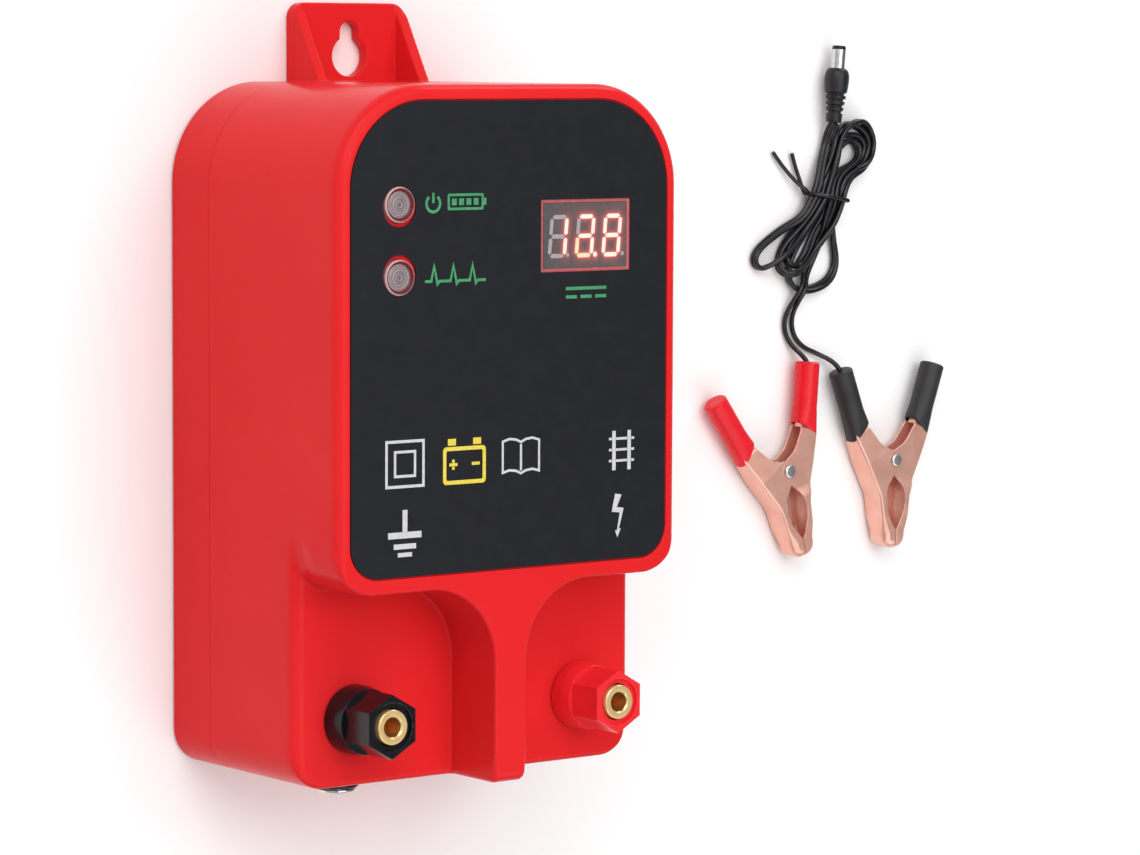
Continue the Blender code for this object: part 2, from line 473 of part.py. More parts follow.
hank = [(-5.5, 30.9), (-3.1, 37.2), (0.1, 43.1), (3.5, 46.2), (6.8, 48.2), (12.5, 48.3), (17.6, 44.9), (18.9, 39.4), (14.8, 34.5), (9.3, 32.3), (5.7, 30.2), (5.2, 25.1), (6.1, 17.8), (5.4, 10.7), (-0.8, 7.1), (-9.3, 8.0), (-16.2, 10.0), (-20.8, 12.7), (-19.0, 16.8), (-12.1, 22.8), (-7.0, 27.8)]
prism("lead_hank", [[(p.x, p.y) for p in smooth_through(hank, 3, closed=True)]], HANK_Z0, HANK_Z1, CORD, LEAD)
# Tie: one turn round the hank's waist, upright across it.
waist = Vector((0.1, 30.2, (HANK_Z0 + HANK_Z1) / 2))
turn = []
for k in range(24):
    t = 2 * math.pi * k / 24
    turn.append(waist + Vector((7.0 * math.copysign(abs(math.cos(t)) ** 0.25, math.cos(t)), 0.0, 3.95 * math.copysign(abs(math.sin(t)) ** 0.25, math.sin(t)))))
tube("twist_tie", turn, 0.55, CORD, LEAD, closed=True)

for name, route in (
    ("positive_wire", [(-7.4, 6.8, 2.6), (-9.0, 3.8, 1.6), (-10.6, 0.8, 0.78), (-10.8, -2.4, 0.78), (-9.3, -5.3, 0.9), (-7.3, -7.2, 2.4), (-6.2, -8.4, 3.5), (-5.85, -9.3, 3.9)]),
    ("negative_wire", [(-5.6, 6.6, 2.6), (-7.0, 3.3, 1.5), (-8.0, -0.3, 0.78), (-7.3, -3.7, 0.78), (-4.4, -6.6, 0.78), (-0.6, -8.4, 1.3), (2.6, -9.9, 3.1), (4.0, -11.2, 3.9), (4.35, -11.9, 3.9)]),
):
    tube(name, smooth_through(route, 3), WIRE_R, CORD, LEAD)

# ------------------------------------------------------------------ spring clips
lean = math.radians(HANDLE_LEAN)


def half_outline():
    """Cheek of the half whose handle is on -X: arm, ear, jaw and rounded tip."""
    ear = [(EAR_R * math.cos(math.radians(a)), EAR_R * math.sin(math.radians(a))) for a in range(110, -81, -19)]
    mouth = [(p.x, p.y) for p in smooth_through([(-0.3, -3.5), (-2.35, -6.2), (-3.0, -9.2), (-2.65, -12.4), (-1.0, -16.0), (-0.15, -17.3)], 2)]
    plain = [(-7.2, 8.4)] + ear + mouth + [(-0.15, -19.0)]
    nose = [(-0.15, -21.9, 0.2), (-3.3, -21.9, 1.9), (-4.1, -14.6, 6.0), (-4.9, -8.6, 6.0), (-8.9, -0.6, 12.0), (-11.6, 5.2, 0.0)]
    return fillet([(x, y, 0.0) for x, y in plain] + nose, 36)


def half_hollow():
    return [(-10.6, 4.75), (-8.3, -0.35), (-6.3, -4.4), (-4.3, -8.5), (-3.5, -14.5), (-2.95, -19.6), (-2.2, -20.9), (7.0, -20.9), (7.0, 9.6), (-4.6, 9.3)]


def clip_half(name, parent, side, z0, z1, look):
    """One stamped half: side -1 carries the outer ears, side +1 the inner ones."""
    flip = lambda pts: pts if side < 0 else [(-x, y) for x, y in reversed(pts)]
    jaw = prism(name, [flip(half_outline())], z0, z1, look, parent)
    cut(jaw, prism(name + "_hollow", [flip(half_hollow())], z0 + SHEET, z1 - SHEET, parent=parent, cutter=True))
    cut(jaw, cylinder(name + "_rivet_hole", RIVET_R + 0.3, z0 - 2, z1 + 2, parent=parent, cutter=True, sides=14))
    mid = (CLIP_Z0 + CLIP_Z1) / 2
    run = STUB_L + 0.5
    centre = (side * (HANDLE_MOUTH[0] + math.sin(lean) * (run / 2 - 0.5)), HANDLE_MOUTH[1] + math.cos(lean) * (run / 2 - 0.5), mid)
    join(jaw, block(name + "_stub", (STUB_W, run, STUB_H), centre, parent=parent, cutter=True, turn=-side * HANDLE_LEAN))
    return jaw


def clip_sleeve(name, parent, side, look):
    mid = (CLIP_Z0 + CLIP_Z1) / 2
    ends = [(side * (HANDLE_MOUTH[0] + math.sin(lean) * d), HANDLE_MOUTH[1] + math.cos(lean) * d, mid) for d in (SLEEVE_FROM, SLEEVE_TO)]
    soft = tube(name + "_curve", ends, SLEEVE_R, resolution=4)
    PARTS.objects.unlink(soft)
    bpy.context.scene.collection.objects.link(soft)
    sleeve = link(as_mesh(soft, name), look, parent)
    reach = STUB_L + 0.4
    centre = (side * (HANDLE_MOUTH[0] + math.sin(lean) * (reach / 2 - 1)), HANDLE_MOUTH[1] + math.cos(lean) * (reach / 2 - 1), mid)
    cut(sleeve, block(name + "_bore", (STUB_W + 0.6, reach + 2, STUB_H + 0.6), centre, parent=parent, cutter=True, turn=-side * HANDLE_LEAN))
    return sleeve


for colour, parent, moving, vinyl in (("red", RED_CLIP, -1, VINYL_RED), ("black", BLACK_CLIP, 1, VINYL_BLACK)):
    inner = SHEET + 0.25
    for side in (-1, 1):
        role = "moving" if side == moving else "fixed"
        z0, z1 = (CLIP_Z0, CLIP_Z1) if side < 0 else (CLIP_Z0 + inner, CLIP_Z1 - inner)
        clip_half(f"{colour}_clip_{role}_jaw", parent, side, z0, z1, COPPER)
        clip_sleeve(f"{colour}_clip_{role}_sleeve", parent, side, vinyl)
    turned(f"{colour}_clip_rivet", [(0, 8.0), (1.1, 7.95), (RIVET_HEAD_R, 7.7), (RIVET_HEAD_R, 7.5), (RIVET_R, 7.5), (RIVET_R, 0.3), (RIVET_HEAD_R, 0.3), (RIVET_HEAD_R, 0.0), (0, 0.0)], STEEL, parent, (0, 0, 0), steps=16)
    helix = [(1.75 * math.cos(a), 1.75 * math.sin(a), 2.45 + 2.9 * a / (2 * math.pi * 4)) for a in [2 * math.pi * 4 * k / 44 for k in range(45)]]
    tube(f"{colour}_clip_spring", helix, 0.28, STEEL, parent, resolution=1)

for obj in PARTS.objects:
    if obj.type == "MESH" and not obj.modifiers:
        obj.data.shade_smooth()
        obj.data.set_sharp_from_angle(angle=math.radians(35))
bpy.context.view_layer.update()
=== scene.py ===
"""Looks of the fence energizer and its battery lead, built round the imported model.

Lengths below are millimetres. The unit's own frame has X across the panel, Y up
from the case's bottom edge and Z out of the panel from the flat back; place()
turns it into the row frame.
"""

import math

import bmesh
import bpy
import numpy as np
from mathutils import Matrix, Vector


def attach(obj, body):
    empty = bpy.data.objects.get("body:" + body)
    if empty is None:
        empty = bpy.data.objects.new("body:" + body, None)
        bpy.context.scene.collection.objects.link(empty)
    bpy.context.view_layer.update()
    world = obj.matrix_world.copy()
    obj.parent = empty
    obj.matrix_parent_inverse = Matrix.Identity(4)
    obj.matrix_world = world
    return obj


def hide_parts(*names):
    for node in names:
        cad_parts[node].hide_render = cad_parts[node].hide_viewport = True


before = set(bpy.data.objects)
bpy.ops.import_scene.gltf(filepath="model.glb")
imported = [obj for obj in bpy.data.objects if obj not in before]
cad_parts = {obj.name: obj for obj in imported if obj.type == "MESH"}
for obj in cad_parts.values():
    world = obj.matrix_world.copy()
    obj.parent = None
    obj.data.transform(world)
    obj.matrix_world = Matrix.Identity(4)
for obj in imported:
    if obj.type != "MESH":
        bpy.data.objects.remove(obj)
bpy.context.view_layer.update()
SCENE = bpy.context.scene
CENTRE_Y = 82.35
LEAD_AT = (140.5, 91.6)

CASE_W, CASE_H, CASE_D = 90.4, 149.5, 63.7
FLOOR_Z = 47.6
SEAM_Z = 15.0
TERM_X, TERM_Y = 30.3, 14.6
LENS_X, POWER_Y, SHOCK_Y = -29.6, 124.5, 109.3
DISPLAY_X, DISPLAY_Y = 19.6, 117.1
JACK_X, JACK_Z = -28.9, 39.4


# ------------------------------------------------------------------ materials
def nodes_of(name):
    made = bpy.data.materials.new(name)
    made.use_nodes = True
    tree = made.node_tree
    shader = tree.nodes["Principled BSDF"]
    return made, tree, shader


def noise(tree, scale, detail=3.0, rough=0.5, vector=None, stretch=None):
    """Noise in object coordinates, which are metres of the row frame."""
    coord = tree.nodes.new("ShaderNodeTexCoord")
    source = coord.outputs["Object"]
    if stretch:
        mapping = tree.nodes.new("ShaderNodeMapping")
        mapping.inputs["Scale"].default_value = stretch
        tree.links.new(source, mapping.inputs["Vector"])
        source = mapping.outputs["Vector"]
    tex = tree.nodes.new("ShaderNodeTexNoise")
    tex.inputs["Scale"].default_value = scale
    tex.inputs["Detail"].default_value = detail
    tex.inputs["Roughness"].default_value = rough
    tree.links.new(source, tex.inputs["Vector"])
    return tex.outputs["Fac"]


def ramp(tree, fac, stops):
    node = tree.nodes.new("ShaderNodeValToRGB")
    while len(node.color_ramp.elements) < len(stops):
        node.color_ramp.elements.new(0.5)
    for element, (at, colour) in zip(node.color_ramp.elements, stops):
        element.position = at
        element.color = (*colour, 1.0) if len(colour) == 3 else colour
    tree.links.new(fac, node.inputs["Fac"])
    return node.outputs["Color"]


def spread(tree, fac, low, high):
    node = tree.nodes.new("ShaderNodeMapRange")
    node.inputs["From Min"].default_value = 0.25
    node.inputs["From Max"].default_value = 0.75
    node.inputs["To Min"].default_value = low
    node.inputs["To Max"].default_value = high
    tree.links.new(fac, node.inputs["Value"])
    return node.outputs["Result"]


def bump(tree, shader, fac, distance, strength=1.0):
    node = tree.nodes.new("ShaderNodeBump")
    node.inputs["Strength"].default_value = strength
    node.inputs["Distance"].default_value = distance
    tree.links.new(fac, node.inputs["Height"])
    tree.links.new(node.outputs["Normal"], shader.inputs["Normal"])


def surface(name, dark, light, rough=(0.3, 0.4), metal=0.0, scale=90.0, grain=2500.0, depth=4e-6, stretch=None, coat=0.0, specular=0.5, detail=3.0):
    """A moulded or metal surface: two close tones, uneven gloss and a fine relief."""
    made, tree, shader = nodes_of(name)
    broad = noise(tree, scale, detail, stretch=stretch)
    tree.links.new(ramp(tree, broad, [(0.3, dark), (0.7, light)]), shader.inputs["Base Color"])
    fine = noise(tree, grain, 2.0, stretch=stretch)
    tree.links.new(spread(tree, noise(tree, scale * 2.3, 4.0, stretch=stretch), *rough), shader.inputs["Roughness"])
    shader.inputs["Metallic"].default_value = metal
    shader.inputs["Specular IOR Level"].default_value = specular
    if coat:
        shader.inputs["Coat Weight"].default_value = coat
        shader.inputs["Coat Roughness"].default_value = 0.12
    if depth:
        bump(tree, shader, fine, depth)
    made.diffuse_color = (*light, 1.0)
    return made


RED = surface("red_abs", (0.700, 0.0175, 0.0205), (0.735, 0.0215, 0.0245), (0.19, 0.25), scale=24.0, grain=5200.0, depth=1.6e-6, specular=0.075)
LABEL = surface("black_label", (0.0098, 0.0102, 0.0140), (0.0124, 0.0128, 0.0170), (0.36, 0.46), scale=220.0, grain=5200.0, depth=4e-6, specular=0.2)
BLACK = surface("black_plastic", (0.0050, 0.0052, 0.0070), (0.0085, 0.0088, 0.0110), (0.14, 0.22), scale=160.0, grain=3600.0, depth=2.5e-6, specular=0.32)
RED_KNOB = surface("red_knob_plastic", (0.80, 0.0220, 0.0300), (0.85, 0.0270, 0.0360), (0.17, 0.23), scale=160.0, grain=3600.0, depth=8e-7, specular=0.3)
BRASS = surface("brass", (0.96, 0.66, 0.28), (1.0, 0.75, 0.38), (0.20, 0.28), 0.62, scale=260.0, grain=1400.0, depth=2.5e-7)
NICKEL = surface("nickel", (0.60, 0.60, 0.61), (0.74, 0.73, 0.72), (0.14, 0.26), 1.0, scale=420.0, grain=3000.0, depth=3e-6)
ZINC = surface("zinc_steel", (0.56, 0.57, 0.59), (0.72, 0.73, 0.75), (0.24, 0.38), 1.0, scale=600.0, grain=3600.0, depth=5e-6)
COPPER = surface("copper_plate", (0.83, 0.435, 0.335), (0.92, 0.525, 0.425), (0.28, 0.38), 0.62, scale=200.0, grain=2600.0, depth=3e-6)
RED_VINYL = surface("red_vinyl", (0.72, 0.010, 0.020), (0.79, 0.015, 0.027), (0.22, 0.34), scale=120.0, grain=1900.0, depth=8e-6, specular=0.32)
BLACK_VINYL = surface("black_vinyl", (0.012, 0.012, 0.014), (0.022, 0.023, 0.026), (0.46, 0.60), scale=240.0, grain=2600.0, depth=1.4e-5)
CORD = surface("black_cord", (0.0038, 0.0041, 0.0060), (0.0080, 0.0084, 0.0110), (0.20, 0.32), scale=300.0, grain=2600.0, depth=5e-6, specular=0.45)
GRIP = surface("plug_grip_pvc", (0.0060, 0.0062, 0.0085), (0.0125, 0.0130, 0.0160), (0.36, 0.48), scale=300.0, grain=3400.0, depth=1.4e-5, specular=0.4)
RUBBER = surface("seal_rubber", (0.012, 0.012, 0.012), (0.03, 0.03, 0.03), (0.7, 0.85), scale=300.0, grain=2500.0, depth=3e-5)
BOARD = surface("circuit_board", (0.012, 0.11, 0.035), (0.03, 0.19, 0.07), (0.35, 0.5), scale=350.0, grain=2500.0, depth=1e-5)
IRON = surface("core_iron", (0.05, 0.05, 0.055), (0.13, 0.12, 0.12), (0.5, 0.7), 0.6, scale=200.0, grain=1800.0, depth=2e-5, stretch=(1, 1, 14))
WINDING = surface("winding", (0.42, 0.27, 0.05), (0.62, 0.45, 0.13), (0.4, 0.55), scale=180.0, grain=1500.0, depth=3e-5, stretch=(1, 1, 10))
FILM = surface("capacitor_case", (0.50, 0.08, 0.05), (0.66, 0.13, 0.08), (0.3, 0.45), scale=120.0, grain=900.0, depth=2e-5)
WHITE_INK = surface("white_ink", (0.52, 0.52, 0.55), (0.62, 0.62, 0.65), (0.45, 0.55), scale=900.0, grain=6000.0, depth=3e-6)
GREEN_INK = surface("green_ink", (0.030, 0.235, 0.090), (0.055, 0.33, 0.135), (0.45, 0.55), scale=900.0, grain=6000.0, depth=3e-6)
YELLOW_INK = surface("yellow_ink", (0.70, 0.54, 0.045), (0.80, 0.64, 0.075), (0.45, 0.55), scale=900.0, grain=6000.0, depth=3e-6)


def clear_plastic():
    made, tree, shader = nodes_of("clear_plastic")
    broad = noise(tree, 700.0, 4.0)
    tree.links.new(ramp(tree, broad, [(0.3, (0.60, 0.50, 0.51)), (0.7, (0.78, 0.70, 0.71))]), shader.inputs["Base Color"])
    tree.links.new(spread(tree, noise(tree, 1500.0), 0.07, 0.16), shader.inputs["Roughness"])
    shader.inputs["Transmission Weight"].default_value = 0.55
    shader.inputs["IOR"].default_value = 1.47
    return made


def from_middle(tree):
    """Distance from a turned piece's own axis, as a part of its width."""
    coord = tree.nodes.new("ShaderNodeTexCoord")
    parts = tree.nodes.new("ShaderNodeSeparateXYZ")
    tree.links.new(coord.outputs["Generated"], parts.inputs["Vector"])
    flat = tree.nodes.new("ShaderNodeCombineXYZ")
    tree.links.new(parts.outputs["X"], flat.inputs["X"])
    tree.links.new(parts.outputs["Y"], flat.inputs["Y"])
    away = tree.nodes.new("ShaderNodeVectorMath")
    away.operation = "DISTANCE"
    away.inputs[1].default_value = (0.5, 0.5, 0.0)
    tree.links.new(flat.outputs["Vector"], away.inputs[0])
    return away.outputs["Value"]


def post_brass():
    """Turned brass, bright outside, with painted shade in the bore of the socket: darker and more orange there."""
    made, tree, shader = nodes_of("brass_post")
    away = from_middle(tree)
    tone = tree.nodes.new("ShaderNodeVectorMath")
    tone.operation = "MULTIPLY"
    tree.links.new(ramp(tree, noise(tree, 260.0, 3.0), [(0.3, (0.96, 0.66, 0.28)), (0.7, (1.0, 0.75, 0.38))]), tone.inputs[0])
    # Painted shade: inside the bore the brass colour is multiplied darker and more orange.
    tree.links.new(ramp(tree, away, [(0.283, (0.88, 0.74, 0.55)), (0.296, (1.0, 1.0, 1.0))]), tone.inputs[1])
    tree.links.new(tone.outputs["Vector"], shader.inputs["Base Color"])
    tree.links.new(ramp(tree, away, [(0.283, (0.84, 0.84, 0.84)), (0.296, (0.62, 0.62, 0.62))]), shader.inputs["Metallic"])
    tree.links.new(spread(tree, noise(tree, 598.0, 4.0), 0.20, 0.28), shader.inputs["Roughness"])
    bump(tree, shader, noise(tree, 1400.0, 2.0), 2.5e-7)
    made.diffuse_color = (1.0, 0.75, 0.38, 1.0)
    return made


def lens_plastic():
    """Clear lens over a red seat: its tone runs in rings about its own middle, with painted highlights as light rings
    on the ridges and at the rim, and painted shade as dark rings and as the dark red of the seat seen through it.
    """
    made, tree, shader = nodes_of("clear_lens")
    away = from_middle(tree)
    ring_shade, ring_highlight, seat = (0.14, 0.105, 0.115), (0.46, 0.38, 0.39), (0.20, 0.030, 0.036)
    # Painted light in rings: the light stops are painted highlights on the ridges and at the rim; the dark stops and
    # the dark red seat are painted shade.
    stops = [(0.0, ring_shade), (0.03, ring_shade), (0.05, ring_highlight), (0.072, ring_shade), (0.10, (0.36, 0.29, 0.30)), (0.128, (0.16, 0.12, 0.13)), (0.155, ring_highlight), (0.18, (0.22, 0.16, 0.17)), (0.215, (0.40, 0.33, 0.34)), (0.24, (0.24, 0.15, 0.16)), (0.262, (0.66, 0.55, 0.56)), (0.275, seat), (0.334, seat), (0.346, (0.90, 0.70, 0.70)), (0.36, (0.80, 0.50, 0.50)), (0.366, (0.45, 0.12, 0.13))]
    tree.links.new(ramp(tree, away, stops), shader.inputs["Base Color"])
    tree.links.new(spread(tree, noise(tree, 1500.0), 0.05, 0.12), shader.inputs["Roughness"])
    shader.inputs["Transmission Weight"].default_value = 0.22
    shader.inputs["IOR"].default_value = 1.47
    return made


LENS = lens_plastic()
POST = post_brass()
CLEAR = clear_plastic()


def lit(name, colour, strength):
    made, tree, shader = nodes_of(name)
    broad = noise(tree, 900.0, 3.0)
    tree.links.new(ramp(tree, broad, [(0.35, tuple(c * 0.9 for c in colour)), (0.65, colour)]), shader.inputs["Emission Color"])
    tree.links.new(ramp(tree, broad, [(0.35, (0.16, 0.06, 0.05)), (0.65, (0.20, 0.08, 0.06))]), shader.inputs["Base Color"])
    shader.inputs["Emission Strength"].default_value = strength
    shader.inputs["Roughness"].default_value = 0.4
    return made


LIT = lit("lit_segment", (1.0, 0.84, 0.70), 1.05)
HALF_LIT = lit("half_lit_segment", (1.0, 0.78, 0.44), 0.98)
UNLIT = surface("unlit_segment", (0.33, 0.30, 0.31), (0.39, 0.36, 0.37), (0.3, 0.4), scale=900.0, grain=4000.0, depth=0.0, specular=0.3)


def display_face():
    """Dark face with a painted red glow round the lit segments, set by a vertex attribute."""
    made, tree, shader = nodes_of("display_face")
    broad = noise(tree, 400.0, 3.0)
    tree.links.new(ramp(tree, broad, [(0.3, (0.078, 0.077, 0.078)), (0.7, (0.094, 0.092, 0.093))]), shader.inputs["Base Color"])
    tree.links.new(spread(tree, noise(tree, 1600.0), 0.22, 0.32), shader.inputs["Roughness"])
    glow = tree.nodes.new("ShaderNodeAttribute")
    glow.attribute_name = "glow"
    # Painted glow: the face emits red light near the lit segments.
    tree.links.new(ramp(tree, glow.outputs["Fac"], [(0.0, (0.0, 0.0, 0.0)), (0.3, (0.14, 0.008, 0.012)), (1.0, (0.82, 0.055, 0.07))]), shader.inputs["Emission Color"])
    shader.inputs["Emission Strength"].default_value = 0.75
    return made


FACE = display_face()
# Painted shade and sheen: the red plastic round the display window, drawn as a darker, pinker copy of the case's red.
SHADED_WINDOW_EDGE = surface("window_edge", (0.42, 0.082, 0.088), (0.50, 0.105, 0.112), (0.3, 0.4), scale=500.0, grain=2500.0, depth=4e-6)


# --------------------------------------------------------------------- meshes
def place(points):
    """Unit-frame millimetres to row-frame metres."""
    return (np.asarray(points, float) - (0.0, CENTRE_Y, 0.0)) * 0.001


def finish_mesh(mesh, look, sharp):
    mesh.materials.append(look)
    mesh.shade_smooth()
    mesh.set_sharp_from_angle(angle=math.radians(sharp))


def weigh(obj):
    """Flat faces keep flat shading beside their rounded edges."""
    step = obj.modifiers.new("normals", "WEIGHTED_NORMAL")
    step.keep_sharp = True
    step.weight = 60
    return obj


def piece(name, points, faces, look, body="root", stands_for=(), slot=None, sharp=40.0, weighted=True):
    mesh = bpy.data.meshes.new(name)
    mesh.from_pydata(place(points).tolist(), [], [list(f) for f in faces])
    mesh.validate()
    return adopt(name, mesh, look, body, stands_for, sharp, weighted)


def adopt(name, mesh, look, body="root", stands_for=(), sharp=40.0, weighted=True):
    finish_mesh(mesh, look, sharp)
    obj = bpy.data.objects.new(name, mesh)
    SCENE.collection.objects.link(obj)
    if weighted:
        weigh(obj)
    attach(obj, body)
    if stands_for:
        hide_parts(*stands_for)
    return obj


def turned(profile, steps=48, closed=False):
    """Points and faces of a profile of (radius, height) turned about Z, outer side from the top down."""
    points, faces, rows = [], [], []
    for r, z in profile:
        if r < 1e-6:
            rows.append([len(points)] * steps)
            points.append((0.0, 0.0, z))
        else:
            rows.append(list(range(len(points), len(points) + steps)))
            points += [(r * math.cos(2 * math.pi * k / steps), r * math.sin(2 * math.pi * k / steps), z) for k in range(steps)]
    pairs = list(zip(rows, rows[1:])) + ([(rows[-1], rows[0])] if closed else [])
    for a, b in pairs:
        for k in range(steps):
            n = (k + 1) % steps
            face = []
            for i in (a[k], b[k], b[n], a[n]):
                if i not in face:
                    face.append(i)
            if len(face) > 2:
                faces.append(face)
    return np.array(points), faces


def rounded(profile, radius=0.2, count=3, closed=False):
    """Profile with its inner corners rounded; a corner may carry its own radius."""
    out = []
    n = len(profile)
    for i, corner in enumerate(profile):
        p = Vector(corner[:2])
        r = corner[2] if len(corner) > 2 else radius
        if (not closed and i in (0, n - 1)) or r <= 0:
            out.append((p.x, p.y))
            continue
        a = Vector(profile[i - 1][:2]) - p
        b = Vector(profile[(i + 1) % n][:2]) - p
        if a.length < 1e-6 or b.length < 1e-6:
            out.append((p.x, p.y))
            continue
        half = a.angle(b) / 2
        cut = min(r / math.tan(half) if half > 0.05 else 0, a.length * 0.45, b.length * 0.45)
        if half > 1.5:
            out.append((p.x, p.y))
            continue
        start, end = p + a.normalized() * cut, p + b.normalized() * cut
        for k in range(count + 1):
            t = k / count
            q = start * (1 - t) ** 2 + p * 2 * t * (1 - t) + end * t * t
            out.append((q.x, q.y))
    return out


def moved(points, at=(0, 0, 0), turn=None):
    points = np.asarray(points, float)
    if turn is not None:
        points = points @ np.array(turn).T
    return points + np.array(at)


def fillet(corners, per_turn=64):
    """Closed outline through corners (x, y, radius), each rounded by an arc."""
    out = []
    count = len(corners)
    for i, (x, y, r) in enumerate(corners):
        p = Vector((x, y))
        if r <= 0:
            out.append((x, y))
            continue
        a = (Vector(corners[i - 1][:2]) - p).normalized()
        b = (Vector(corners[(i + 1) % count][:2]) - p).normalized()
        half = a.angle(b) / 2
        centre = p + (a + b).normalized() * (r / math.sin(half))
        first = p + a * (r / math.tan(half)) - centre
        last = p + b * (r / math.tan(half)) - centre
        a0 = math.atan2(first.y, first.x)
        sweep = (math.atan2(last.y, last.x) - a0 + math.pi) % (2 * math.pi) - math.pi
        steps = max(2, round(abs(sweep) / (2 * math.pi) * per_turn))
        out += [(centre.x + r * math.cos(a0 + sweep * k / steps), centre.y + r * math.sin(a0 + sweep * k / steps)) for k in range(steps + 1)]
    return out


def box_outline(x, y, w, h, r=0.0, per_turn=32):
    return fillet([(x - w / 2, y - h / 2, r), (x + w / 2, y - h / 2, r), (x + w / 2, y + h / 2, r), (x - w / 2, y + h / 2, r)], per_turn)


def circle(x, y, r, steps=64):
    return [(x + r * math.cos(2 * math.pi * k / steps), y + r * math.sin(2 * math.pi * k / steps)) for k in range(steps)]


def flat_mesh(name, shapes, z0, z1, edge=0.0):
    """Mesh of flat outlines, each with its holes, between z0 and z1, in row metres."""
    curve = bpy.data.curves.new(name, "CURVE")
    curve.dimensions = "2D"
    curve.fill_mode = "BOTH"
    curve.extrude = (z1 - z0) / 2 * 0.001 - edge * 0.001
    if edge:
        curve.bevel_depth = edge * 0.001
        curve.bevel_resolution = 1
        curve.offset = -edge * 0.001
    for loop in shapes:
        spline = curve.splines.new("POLY")
        spline.points.add(len(loop) - 1)
        for point, (x, y) in zip(spline.points, loop):
            point.co = (x * 0.001, (y - CENTRE_Y) * 0.001, 0.0, 1.0)
        spline.use_cyclic_u = True
    holder = bpy.data.objects.new(name + "_outline", curve)
    SCENE.collection.objects.link(holder)
    bpy.context.view_layer.update()
    mesh = bpy.data.meshes.new_from_object(holder.evaluated_get(bpy.context.evaluated_depsgraph_get()))
    mesh.name = name
    mesh.transform(Matrix.Translation((0, 0, (z0 + z1) / 2 * 0.001)))
    mesh.materials.clear()
    bm = bmesh.new()
    bm.from_mesh(mesh)
    bmesh.ops.remove_doubles(bm, verts=bm.verts, dist=1e-7)
    bmesh.ops.recalc_face_normals(bm, faces=bm.faces)
    bm.to_mesh(mesh)
    bm.free()
    bpy.data.objects.remove(holder, do_unlink=True)
    bpy.data.curves.remove(curve)
    return mesh


def joined(*parts):
    """Points and faces of several (points, faces) pairs in one list."""
    points, faces = [], []
    for p, f in parts:
        start = sum(len(q) for q in points)
        points.append(np.asarray(p, float).reshape(-1, 3))
        faces += [[i + start for i in face] for face in f]
    return np.concatenate(points), faces


# --------------------------------------------------- solids from distance fields
def round_max(a, b, r):
    """Both at once, with the edge between them rounded to radius r."""
    return np.minimum(np.maximum(a, b), -r) + np.hypot(np.maximum(a + r, 0), np.maximum(b + r, 0))


def round_min(a, b, r):
    """Either, with the inner corner between them rounded to radius r."""
    return np.maximum(np.minimum(a, b), r) - np.hypot(np.maximum(r - a, 0), np.maximum(r - b, 0))


def spans(*parts):
    out = [np.linspace(a, b, max(1, round((b - a) / step)), endpoint=False) for a, b, step in parts]
    return np.concatenate(out + [[parts[-1][1]]])


def both_sides(half):
    return np.concatenate([-half[:0:-1], half])


